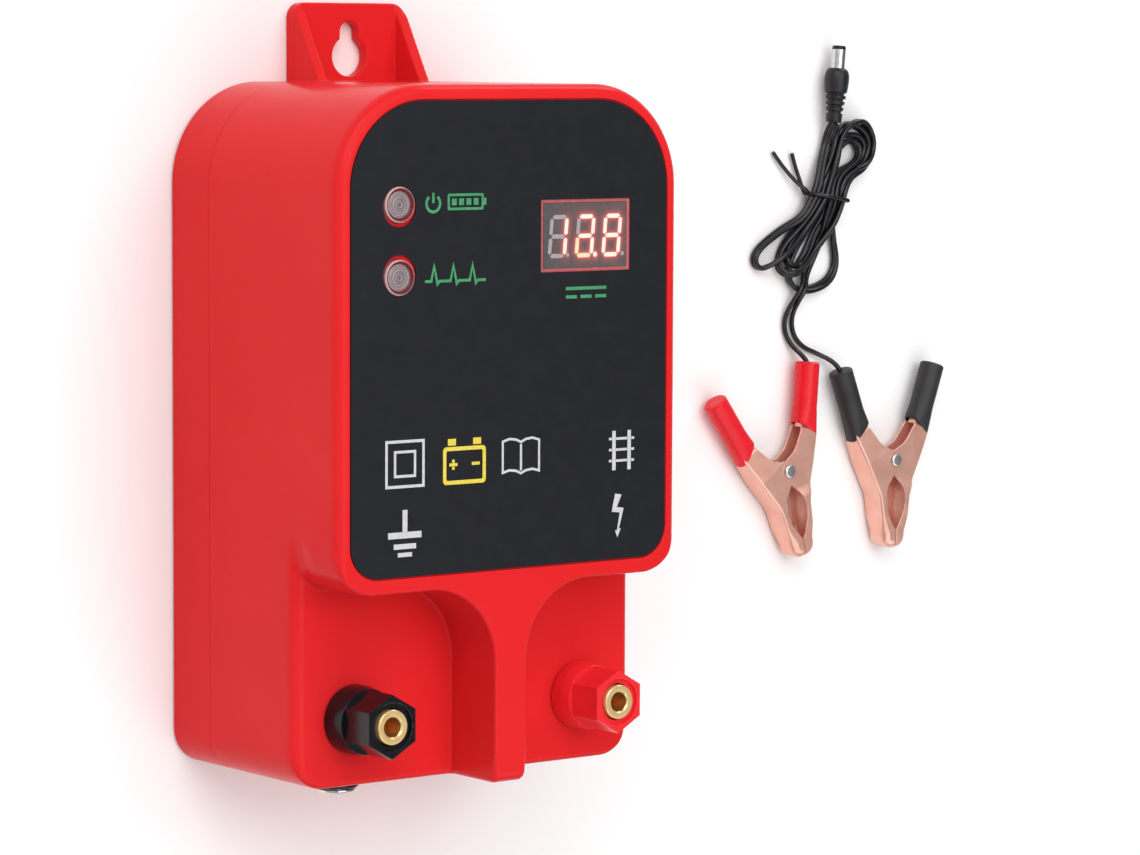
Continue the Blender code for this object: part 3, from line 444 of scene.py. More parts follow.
def contour(field, xs, ys, zs):
    """Closed mesh round field < 0: one point to each grid cell it crosses, set on the field's own edges."""
    grid = [np.asarray(a, float) for a in (xs, ys, zs)]
    value = field(*np.meshgrid(*grid, indexing="ij"))
    inside = value < 0
    shape = [n - 1 for n in value.shape]
    corner = lambda i, j, k: (slice(i, shape[0] + i), slice(j, shape[1] + j), slice(k, shape[2] + k))
    total = sum(inside[corner(i, j, k)].astype(np.int8) for i in (0, 1) for j in (0, 1) for k in (0, 1))
    active = (total > 0) & (total < 8)
    cells = np.argwhere(active)
    index = np.full(active.shape, -1, np.int64)
    index[active] = np.arange(len(cells))
    at = lambda c: np.stack([grid[a][c[:, a]] for a in range(3)], 1)
    low, high = at(cells), at(cells + 1)
    matrix = np.zeros((len(cells), 3, 3))
    right = np.zeros((len(cells), 3))
    mass, count = np.zeros((len(cells), 3)), np.zeros(len(cells))
    kept = []
    for axis in range(3):
        u, v = [a for a in range(3) if a != axis]
        for du in (0, 1):
            for dv in (0, 1):
                c0 = cells.copy()
                c0[:, u] += du
                c0[:, v] += dv
                c1 = c0.copy()
                c1[:, axis] += 1
                v0, v1 = value[tuple(c0.T)], value[tuple(c1.T)]
                hit = np.nonzero((v0 < 0) != (v1 < 0))[0]
                p0, p1, v0, v1 = at(c0[hit]), at(c1[hit]), v0[hit], v1[hit]
                for _ in range(4):
                    t = np.clip(v0 / (v0 - v1), 0.02, 0.98)
                    p = p0 + (p1 - p0) * t[:, None]
                    got = field(*p.T)
                    same = (got < 0) == (v0 < 0)
                    p0, v0 = np.where(same[:, None], p, p0), np.where(same, got, v0)
                    p1, v1 = np.where(same[:, None], p1, p), np.where(same, v1, got)
                t = np.clip(v0 / np.where(v0 == v1, 1e-12, v0 - v1), 0, 1)
                p = p0 + (p1 - p0) * t[:, None]
                kept.append((hit, p, slope(field, p)))
                np.add.at(mass, hit, p)
                np.add.at(count, hit, 1)
    mean = mass / count[:, None]
    for hit, p, n in kept:
        np.add.at(matrix, hit, n[:, :, None] * n[:, None, :])
        np.add.at(right, hit, n * np.sum(n * (p - mean[hit]), 1)[:, None])
    points = mean + np.linalg.solve(matrix + 0.015 * np.eye(3), right[:, :, None])[:, :, 0]
    points = np.clip(points, low, high)
    faces = []
    rings = (
        ((0, -1, -1), (0, 0, -1), (0, 0, 0), (0, -1, 0)),
        ((-1, 0, -1), (-1, 0, 0), (0, 0, 0), (0, 0, -1)),
        ((-1, -1, 0), (0, -1, 0), (0, 0, 0), (-1, 0, 0)),
    )
    for axis in range(3):
        first = [slice(None, -1) if a == axis else slice(1, -1) for a in range(3)]
        second = [slice(1, None) if a == axis else slice(1, -1) for a in range(3)]
        solid, other = inside[tuple(first)], inside[tuple(second)]
        spot = np.argwhere(solid != other)
        out = solid[tuple(spot.T)]
        spot = spot + [0 if a == axis else 1 for a in range(3)]
        quad = np.stack([index[tuple((spot + o).T)] for o in rings[axis]], 1)
        quad[~out] = quad[~out][:, ::-1]
        faces.append(quad)
    return points, np.concatenate(faces)


def slope(field, p, h=2e-3):
    out = np.stack([field(*(p + h * e).T) - field(*(p - h * e).T) for e in np.eye(3)], 1)
    return out / np.maximum(np.linalg.norm(out, axis=1), 1e-12)[:, None]


def solid_mesh(name, points, faces, extra=None, dissolve=0.3):
    """Mesh of a contour, its flat parts merged into single faces, with extra (points, faces) added."""
    mesh = bpy.data.meshes.new(name)
    mesh.vertices.add(len(points))
    mesh.vertices.foreach_set("co", place(points).astype(np.float32).ravel())
    mesh.loops.add(len(faces) * 4)
    mesh.loops.foreach_set("vertex_index", faces.astype(np.int32).ravel())
    mesh.polygons.add(len(faces))
    mesh.polygons.foreach_set("loop_start", np.arange(0, len(faces) * 4, 4, dtype=np.int32))
    mesh.update(calc_edges=True)
    mesh.validate()
    bm = bmesh.new()
    bm.from_mesh(mesh)
    bmesh.ops.dissolve_degenerate(bm, dist=2e-6, edges=bm.edges)
    bm.normal_update()
    tile = {f: tuple((f.calc_center_median() / 0.005).to_tuple(0)) for f in bm.faces}
    flat = [e for e in bm.edges if len(e.link_faces) == 2 and tile[e.link_faces[0]] == tile[e.link_faces[1]]]
    bmesh.ops.dissolve_limit(bm, angle_limit=math.radians(dissolve), use_dissolve_boundaries=False, verts=[], edges=flat)
    if extra:
        made = [bm.verts.new(p) for p in place(extra[0])]
        for face in extra[1]:
            bm.faces.new([made[i] for i in face])
    bm.to_mesh(mesh)
    bm.free()
    return mesh


# ------------------------------------------------------------------ case shells
def case_field(x, y, inset=0.0):
    top, bottom = 22.0 - inset, 8.0 - inset
    r = np.where(y > CASE_H / 2, top, bottom)
    qx = np.abs(x) - CASE_W / 2 + inset + r
    qy = np.abs(y - CASE_H / 2) - CASE_H / 2 + inset + r
    return np.minimum(np.maximum(qx, qy), 0) + np.hypot(np.maximum(qx, 0), np.maximum(qy, 0)) - r


def kept_field(x, y):
    """The panel block and the rib between the two terminal recesses."""
    qx, qy = np.abs(x) - 45.45 + 9.5, 42.9 - y + 9.5
    panel = np.minimum(np.maximum(qx, qy), 0) + np.hypot(np.maximum(qx, 0), np.maximum(qy, 0)) - 9.5
    panel = panel - 5.0 * ease((y - 49.0) / 15.0)
    return round_min(panel, np.abs(x) - 4.25, 16.5)


def label_field(x, y, grow):
    low, high = 46.4 - grow, 146.1 + grow
    mid = (low + high) / 2
    r = np.where(y > mid, 18.6 + grow, 7.0 + grow)
    qx = np.abs(x) - 41.8 - grow + r
    qy = np.abs(y - mid) - (high - low) / 2 + r
    return np.minimum(np.maximum(qx, qy), 0) + np.hypot(np.maximum(qx, 0), np.maximum(qy, 0)) - r


def ease(t):
    t = np.clip(t, 0, 1)
    return t * t * (3 - 2 * t)


def front_field(x, y, z):
    case = case_field(x, y)
    body = round_max(case, z - CASE_D, 2.5)
    wall = round_min(kept_field(x, y), z - FLOOR_Z, 0.7)
    edge = 2.8 + (0.75 - 2.8) * ease((z - 49.5) / 5.0)
    edge = edge + (1.3 - edge) * ease((7.0 - y) / 5.0)
    body = round_max(body, wall, edge)
    hollow = np.maximum(np.maximum(case + 2.5, z - CASE_D + 2.5), wall + 2.5)
    body = np.maximum(body, -hollow)
    body = round_max(body, SEAM_Z + 0.09 - z, 0.13)
    body = round_max(body, -np.maximum(label_field(x, y, 0.3), CASE_D - 0.6 - z), 0.12)
    for hole_y in (POWER_Y, SHOCK_Y):
        body = np.maximum(body, -np.maximum(np.hypot(x - LENS_X, y - hole_y) - 5.0, 58.0 - z))
    window = np.maximum(np.abs(x - DISPLAY_X) - 12.6, np.abs(y - DISPLAY_Y) - 8.3)
    body = np.maximum(body, -np.maximum(window, 58.0 - z))
    body = np.maximum(body, -np.maximum(np.hypot(np.abs(x) - TERM_X, y - TERM_Y) - 5.0, 42.0 - z))
    return np.maximum(body, -np.maximum(np.hypot(x - JACK_X, z - JACK_Z) - 4.1, y - 6.0))


SCREWS = [(-34.0, 134.0), (34.0, 134.0), (-38.0, 34.0), (38.0, 34.0)]


def rear_field(x, y, z):
    case = case_field(x, y)
    body = round_max(case, -z, 0.8)
    body = round_max(body, z - SEAM_Z, 0.13)
    qx, qy = np.abs(x) - 15.0 + 3.5, np.abs(y - 153.45) - 13.45 + 3.5
    lug = np.minimum(np.maximum(qx, qy), 0) + np.hypot(np.maximum(qx, 0), np.maximum(qy, 0)) - 3.5
    plate = round_max(lug, np.abs(z - 1.4) - 1.4, 0.55)
    slant = 0.5089 * (y - 149.5) + 0.8608 * (z - 12.6)
    web = round_max(round_max(np.abs(np.abs(x) - 13.7) - 1.3, slant, 0.45), lug, 0.45)
    body = np.maximum(round_min(body, np.maximum(round_min(plate, web, 0.6), lug), 0.5), -z)
    hollow = np.maximum(case + 2.5, 2.5 - z)
    body = np.maximum(body, -hollow)
    body = np.maximum(body, -np.maximum(case + 1.3, SEAM_Z - 1.5 - z))
    for sx, sy in SCREWS:
        shaft = np.hypot(x - sx, y - sy)
        body = np.minimum(body, np.maximum(np.maximum(shaft - 4.3, z - SEAM_Z), 1.0 - z))
        body = round_max(body, -np.maximum(shaft - 3.2, z - 9.0), 0.3)
        body = np.maximum(body, -(shaft - 1.85))
    for sx in (-26.0, 26.0):
        for sy in (40.0, 120.0):
            body = np.minimum(body, np.maximum(np.maximum(np.hypot(x - sx, y - sy) - 3.0, z - 8.0), 1.0 - z))
    key = np.minimum(np.hypot(x, y - 155.1) - 4.5, np.hypot(x, y - np.clip(y, 155.1, 160.45)) - 2.45)
    return round_max(body, -key, 0.4)


def frame_ring(w, h, x, y, z0, z1, border, r):
    """Rectangular frame with a clear opening w by h, as (points, faces)."""
    inner = box_outline(x, y, w, h, r, 24)
    outer = box_outline(x, y, w + 2 * border, h + 2 * border, r + 0.08, 24)
    n = len(inner)
    soft = 0.12
    inner_soft = box_outline(x, y, w + 2 * soft, h + 2 * soft, r + soft, 24)
    points = [(*p, z0) for p in inner] + [(*p, z1 - soft) for p in inner] + [(*p, z1) for p in inner_soft] + [(*p, z1) for p in outer] + [(*p, z0) for p in outer]
    faces = []
    for row in range(5):
        a, b = row * n, (row + 1) % 5 * n
        faces += [(a + k, a + (k + 1) % n, b + (k + 1) % n, b + k) for k in range(n)]
    return points, faces


half = spans((0, 6, 0.5), (6, 22, 0.65), (22, 36, 0.9), (36, 40.6, 0.6), (40.6, 45.95, 0.35))
front_z = np.concatenate([[14.8, 15.03, 15.14, 15.24, 15.5, 16.3, 18.0, 22.0, 27.0, 32.0], spans((34, 44, 0.9), (44, 49.2, 0.36), (49.2, 51, 0.8), (51, 60.4, 2.2), (60.4, 62.9, 0.32)), [63.22, 63.5, 63.62, 63.86, 64.2]])
front_y = spans((-0.72, 4.0, 0.35), (4.0, 24.0, 0.8), (24.0, 54.0, 0.5), (54.0, 103.0, 3.2), (103.0, 129.0, 0.7), (129.0, 143.5, 0.7), (143.5, 150.3, 0.35))
shell = contour(front_field, both_sides(half) + 0.004, front_y, front_z)
rims = [moved(turned(rounded([(3.9, 61.1, 0), (3.9, 63.1, 0.15), (6.4, 63.1, 0), (6.4, 61.1, 0)], 0.15, closed=True), 64, True)[0], (LENS_X, y, 0)) for y in (POWER_Y, SHOCK_Y)]
rim_faces = [f[::-1] for f in turned(rounded([(3.9, 61.1, 0), (3.9, 63.1, 0.15), (6.4, 63.1, 0), (6.4, 61.1, 0)], 0.15, closed=True), 64, True)[1]]
adopt("front_shell_look", solid_mesh("front_shell_look", *shell, extra=joined(*[(p, rim_faces) for p in rims])), RED, "root", ["front_shell"], sharp=50)
# The window's edge is red plastic with painted shade and sheen, darker and pinker than the case.
piece("display_window_edge", *frame_ring(22.66, 14.06, DISPLAY_X, DISPLAY_Y, 61.0, 63.47, 0.74, 0.2), SHADED_WINDOW_EDGE, slot="red_abs", sharp=50)

half = spans((0, 17, 0.4), (17, 31, 1.1), (31, 43, 0.8), (43, 45.95, 0.35))
rear_y = spans((-0.72, 4.0, 0.35), (4, 29, 1.6), (29, 44.0, 0.8), (44, 115, 3.2), (115, 140, 0.8), (140, 148.5, 0.6), (148.5, 167.6, 0.4))
rear_z = np.concatenate([[-0.35, -0.03, 0.25, 0.55, 0.85, 1.3, 1.9, 2.35, 2.65, 2.95, 3.3], spans((3.8, 12.2, 0.7), (12.2, 13.3, 0.4)), [13.65, 14.2, 14.6, 14.84, 14.94, 15.06, 15.2]])
shell = contour(rear_field, both_sides(half) + 0.004, rear_y, rear_z)
adopt("rear_shell_look", solid_mesh("rear_shell_look", *shell), RED, "root", ["rear_shell"], sharp=50)

# ------------------------------------------------------------- label and its marks
LABEL_TOP = CASE_D
label_shape = [fillet([(-41.8, 46.4, 7.0), (41.8, 46.4, 7.0), (41.8, 146.1, 18.6), (-41.8, 146.1, 18.6)], 120)]
label_shape += [circle(LENS_X + 0.1, POWER_Y - 0.42, 4.25), circle(LENS_X + 0.1, SHOCK_Y + 0.42, 4.25)]
label_shape += [box_outline(DISPLAY_X, DISPLAY_Y, 24.2, 15.5, 0.3)]
adopt("front_label_look", flat_mesh("front_label_look", label_shape, CASE_D - 0.3, LABEL_TOP, 0.05), LABEL, "root", ["front_label"])


def stroke(points, width, closed=False):
    """Outline of a line of that width along points, with round joints kept simple."""
    pts = [Vector(p) for p in points]
    left, right = [], []
    n = len(pts)
    for i, p in enumerate(pts):
        before = pts[i - 1] if i or closed else None
        after = pts[(i + 1) % n] if i + 1 < n or closed else None
        d1 = (p - before).normalized() if before is not None else (after - p).normalized()
        d2 = (after - p).normalized() if after is not None else d1
        n1, n2 = Vector((-d1.y, d1.x)), Vector((-d2.y, d2.x))
        mid = (n1 + n2).normalized()
        reach = width / 2 / max(0.35, mid.dot(n1))
        left.append(tuple(p + mid * reach))
        right.append(tuple(p - mid * reach))
    return [left, right] if closed else [left + right[::-1]]


def bar(x0, y0, x1, y1):
    return [[(x0, y0), (x1, y0), (x1, y1), (x0, y1)]]


def arc(x, y, r, a0, a1, steps=40):
    return [(x + r * math.cos(math.radians(a0 + (a1 - a0) * k / steps)), y + r * math.sin(math.radians(a0 + (a1 - a0) * k / steps))) for k in range(steps + 1)]


white, green, yellow = [], [], []
# Double square and earth mark.
for size, thick in ((10.1, 0.62), (5.7, 0.58)):
    white += [box_outline(-28.07, 70.26, size, size), box_outline(-28.07, 70.26, size - 2 * thick, size - 2 * thick)]
white += bar(-28.7, 55.9, -27.45, 60.6) + bar(-32.4, 54.6, -23.8, 55.95) + bar(-30.95, 52.35, -25.2, 53.45) + bar(-29.9, 50.7, -26.25, 51.6)
# Open book.
white += stroke([(2.3, 66.6), (1.0, 67.2), (-0.8, 67.4), (-2.55, 66.95), (-2.55, 73.6), (-0.8, 74.1), (1.0, 73.9), (2.3, 73.3), (3.6, 73.9), (5.4, 74.1), (7.15, 73.6), (7.15, 66.95), (5.4, 67.4), (3.6, 67.2)], 0.52, True)
white += bar(2.02, 67.2, 2.58, 72.9)
# Fence: two posts and three wires.
for x in (27.1, 31.3):
    white += bar(x, 65.8, x + 0.95, 74.4)
for y in (67.6, 70.0, 72.4):
    white += bar(26.2, y, 27.0, y + 0.55) + bar(28.15, y, 31.2, y + 0.55) + bar(32.35, y, 33.15, y + 0.55)
# Output bolt with its arrow head.
white += [[(27.95, 60.7), (29.75, 60.4), (28.45, 57.75), (30.35, 57.45), (29.05, 52.95), (29.6, 53.05), (28.65, 51.1), (28.0, 52.6), (28.55, 52.75), (29.25, 56.5), (27.05, 56.75)]]
# Lamp marks: a power symbol with a battery, and a train of pulses.
green += stroke(arc(-20.9, 124.6, 1.75, 128, 412), 0.62) + bar(-21.2, 124.7, -20.6, 126.85)
green += [box_outline(-12.5, 124.85, 9.4, 3.5, 0.4), box_outline(-12.5, 124.85, 8.3, 2.4, 0.2)] + bar(-7.75, 124.1, -7.1, 125.6)
for k in range(4):
    green += bar(-16.1 + 1.9 * k, 124.15, -14.85 + 1.9 * k, 125.55)
pulse = [(-23.0, 108.3)]
for k in range(3):
    x = -21.4 + 5.0 * k
    pulse += [(x, 108.3), (x + 0.75, 111.5), (x + 1.6, 107.7), (x + 2.2, 108.3)]
green += stroke(pulse + [(-7.2, 108.3)], 0.6)
# Direct current: a line over three dashes.
green += bar(14.2, 105.35, 25.2, 106.05)
for k in range(3):
    green += bar(14.2 + 4.0 * k, 103.55, 17.2 + 4.0 * k, 104.25)
# Battery in yellow.
yellow += [box_outline(-12.64, 69.2, 11.2, 8.0, 0.9), box_outline(-12.64, 69.2, 9.5, 6.3, 0.4)]
yellow += bar(-17.0, 73.5, -14.9, 74.9) + bar(-10.4, 73.5, -8.3, 74.9)
yellow += bar(-16.6, 69.1, -14.5, 69.75) + bar(-10.75, 69.1, -8.65, 69.75)
yellow += bar(-15.88, 68.35, -15.22, 69.0) + bar(-15.88, 69.85, -15.22, 70.5)
for name, marks, ink in (("label_marks_white", white, WHITE_INK), ("label_marks_green", green, GREEN_INK), ("label_marks_yellow", yellow, YELLOW_INK)):
    adopt(name, flat_mesh(name, marks, LABEL_TOP + 0.004, LABEL_TOP + 0.034), ink, "root", weighted=False)

# ------------------------------------------------------------------------- lenses
lens = [(0, 63.98, 0)]
for k in range(1, 15):
    r = 0.19 * k
    lens.append((r, 63.9 + 0.085 * math.cos(2 * math.pi * r / 0.76) - 0.012 * r * r, 0))
lens += [(2.78, 63.55, 0.05), (3.12, 63.55, 0.05), (3.25, 64.2, 0.15), (3.62, 64.2, 0.18), (3.8, 63.7, 0.1), (3.8, 60.9, 0.05), (5.2, 60.9, 0.05), (5.2, 59.7, 0.05), (0, 59.7, 0)]
lens_points, lens_faces = turned(rounded(lens, 0.1, 2), 64)
for name, y in (("power", POWER_Y), ("shock", SHOCK_Y)):
    piece(f"{name}_lens_look", moved(lens_points, (LENS_X, y, 0)), lens_faces, LENS, "root", [f"{name}_lens"], "clear_lens", sharp=60, weighted=False)

# ------------------------------------------------------------------------ display
FACE_Z = CASE_D - 0.3
SLANT = math.tan(math.radians(5.0))
DIGIT_H, DIGIT_W, SEG = 9.25, 4.95, 0.92


def segment(which, cx, cy):
    """Outline of one bar of a seven-bar digit, leaning to the right."""
    w, h, s, gap = DIGIT_W / 2, DIGIT_H / 2, SEG / 2, 0.15
    flat = lambda y: [(-w + s + gap, y), (-w + 2 * s + gap, y + s), (w - 2 * s - gap, y + s), (w - s - gap, y), (w - 2 * s - gap, y - s), (-w + 2 * s + gap, y - s)]
    tall = lambda x, lo, hi: [(x, lo + gap + s * 0.3), (x + s, lo + gap + s), (x + s, hi - gap - s), (x, hi - gap - s * 0.3), (x - s, hi - gap - s), (x - s, lo + gap + s)]
    shapes = {
        "a": flat(h - s), "g": flat(0.0), "d": flat(-h + s),
        "f": tall(-w + s, 0.0, h - s), "b": tall(w - s, 0.0, h - s),
        "e": tall(-w + s, -h + s, 0.0), "c": tall(w - s, -h + s, 0.0),
    }
    return [(cx + x + y * SLANT, cy + y) for x, y in shapes[which]]


digits = [(-7.28, "bc", ""), (0.0, "abgc", "ed"), (7.3, "abcdefg", "")]
on, half_on, off = [], [], []
for dx, bright, dim in digits:
    for which in "abcdefg":
        target = on if which in bright else half_on if which in dim else off
        target.append(segment(which, DISPLAY_X + dx, DISPLAY_Y - 0.17))
for dx, target, r in ((-4.72, off, 0.44), (2.72, on, 0.56), (10.2, off, 0.44)):
    target.append(circle(DISPLAY_X + dx, DISPLAY_Y - 4.2, r, 24))
for name, shapes, look in (("display_lit", on, LIT), ("display_half_lit", half_on, HALF_LIT), ("display_unlit", off, UNLIT)):
    adopt(name, flat_mesh(name, shapes, FACE_Z + 0.004, FACE_Z + 0.03), look, "root", weighted=False)
# Block with a finely divided face that carries the glow round the lit bars.
nx, ny, bw, bh = 114, 72, 22.6, 14.0
gx = np.linspace(-bw / 2, bw / 2, nx) + DISPLAY_X
gy = np.linspace(-bh / 2, bh / 2, ny) + DISPLAY_Y
face = np.array([(x, y, FACE_Z) for y in gy for x in gx])
base = FACE_Z - 7.2
ring = [i for i in range(nx)] + [nx * j + nx - 1 for j in range(1, ny)] + [nx * (ny - 1) + i for i in range(nx - 2, -1, -1)] + [nx * j for j in range(ny - 2, 0, -1)]
under = face[ring] * (1, 1, 0) + (0, 0, base)
top = len(face)
faces = [(j * nx + i, j * nx + i + 1, (j + 1) * nx + i + 1, (j + 1) * nx + i) for j in range(ny - 1) for i in range(nx - 1)]
faces += [(ring[k], top + k, top + (k + 1) % len(ring), ring[(k + 1) % len(ring)]) for k in range(len(ring))]
faces += [tuple(top + k for k in range(len(ring)))[::-1]]
block = piece("display_block_look", np.concatenate([face, under]), faces, FACE, "root", ["display_block"], "display_face", sharp=30)
lines = []
for shape in on + half_on:
    pts = np.array(shape)
    for a, b in zip(pts, np.roll(pts, -1, 0)):
        lines.append((a, b))
near = np.full(len(face), 9.0)
for a, b in lines:
    d = b - a
    t = np.clip(((face[:, :2] - a) @ d) / max(d @ d, 1e-9), 0, 1)
    near = np.minimum(near, np.linalg.norm(face[:, :2] - (a + t[:, None] * d), axis=1))
glow = np.concatenate([0.62 * np.exp(-near / 0.45) + 0.38 * np.exp(-near / 1.7), np.zeros(len(under))])
layer = block.data.attributes.new("glow", "FLOAT", "POINT")
layer.data.foreach_set("value", glow.astype(np.float32))

# --------------------------------------------------------------- terminals, inlet
def knob_field(x, y, z):
    r = np.hypot(x, y)
    hexagon = np.maximum(np.abs(x), np.abs(x) / 2 + np.abs(y) * 0.8660254)
    grip = round_max(hexagon - 6.02, z - 14.85, 0.2)
    skirt = np.maximum(r - np.interp(z, [0.0, 3.4, 6.1, 20.0], [7.5, 7.44, 6.98, 6.98]), z - 6.1)
    body = np.minimum(np.maximum(grip, r - 7.0), round_max(skirt, z - 6.1, 0.22))
    body = round_max(body, 0.3 - z, 0.3)
    bore = r - 4.05
    dish = np.maximum(r - 5.05, 14.05 - z)
    body = round_max(body, -np.minimum(bore, dish), 0.25)
    return np.maximum(body, -np.maximum(r - 6.4, z - 1.5))


grid = np.arange(-7.98, 8.1, 0.24)
knob = contour(knob_field, grid + 0.003, grid + 0.007, np.concatenate([spans((0.05, 1.8, 0.3), (1.8, 5.2, 0.5), (5.2, 6.6, 0.2), (6.6, 13.7, 0.8), (13.7, 15.25, 0.2))]))
post = rounded([(0, 2.2), (2.1, 2.6, 0.2), (2.1, 14.75, 0.06), (2.42, 15.1, 0.08), (3.6, 15.1, 0.08), (3.75, 14.95, 0.06), (3.75, 0.3, 0.1), (2.5, 0.3, 0), (2.5, -10.0, 0.2), (2.0, -10.5, 0.1), (0, -10.5)], 0.1, 3)
post_points, post_faces = turned(post, 64)
for name, side, look, slot in (("earth", -1, BLACK, "black_plastic"), ("output", 1, RED_KNOB, "red_knob_plastic")):
    at = (side * TERM_X, TERM_Y, FLOOR_Z)
    adopt(f"{name}_knob_look", solid_mesh(f"{name}_knob_look", moved(knob[0], at), knob[1]), look, f"{name}_knob", [f"{name}_knob"], sharp=28)
    piece(f"{name}_post_look", moved(post_points, at), post_faces, POST, "root", [f"{name}_post"], "brass", sharp=45)

DOWN = ((1, 0, 0), (0, 0, -1), (0, 1, 0))
inlet = (JACK_X, 0.0, JACK_Z)
flange = rounded([(0, -6.6), (2.75, -6.6, 0), (2.75, 1.2, 0.15), (4.7, 1.2, 0.3), (5.0, 0.9, 0.2), (5.0, 0.3, 0.1), (3.75, 0.3, 0), (3.75, -8.2, 0.1), (0, -8.2)], 0.1, 3)
points, faces = turned(flange, 56)
piece("dc_jack_body_look", moved(points, inlet, DOWN), faces, BLACK, "root", ["dc_jack_body"], "black_plastic", sharp=45)
sleeve = rounded([(1.95, 2.2, 0.15), (4.05, 2.2, 0.25), (4.3, 1.9, 0.15), (4.3, 1.5, 0.1), (2.45, 1.5, 0), (2.45, -5.6, 0), (1.95, -5.6, 0)], 0.1, 3, True)
points, faces = turned(sleeve, 56, True)
piece("dc_jack_sleeve_look", moved(points, inlet, DOWN), faces, NICKEL, "root", ["dc_jack_sleeve"], "nickel", sharp=45)

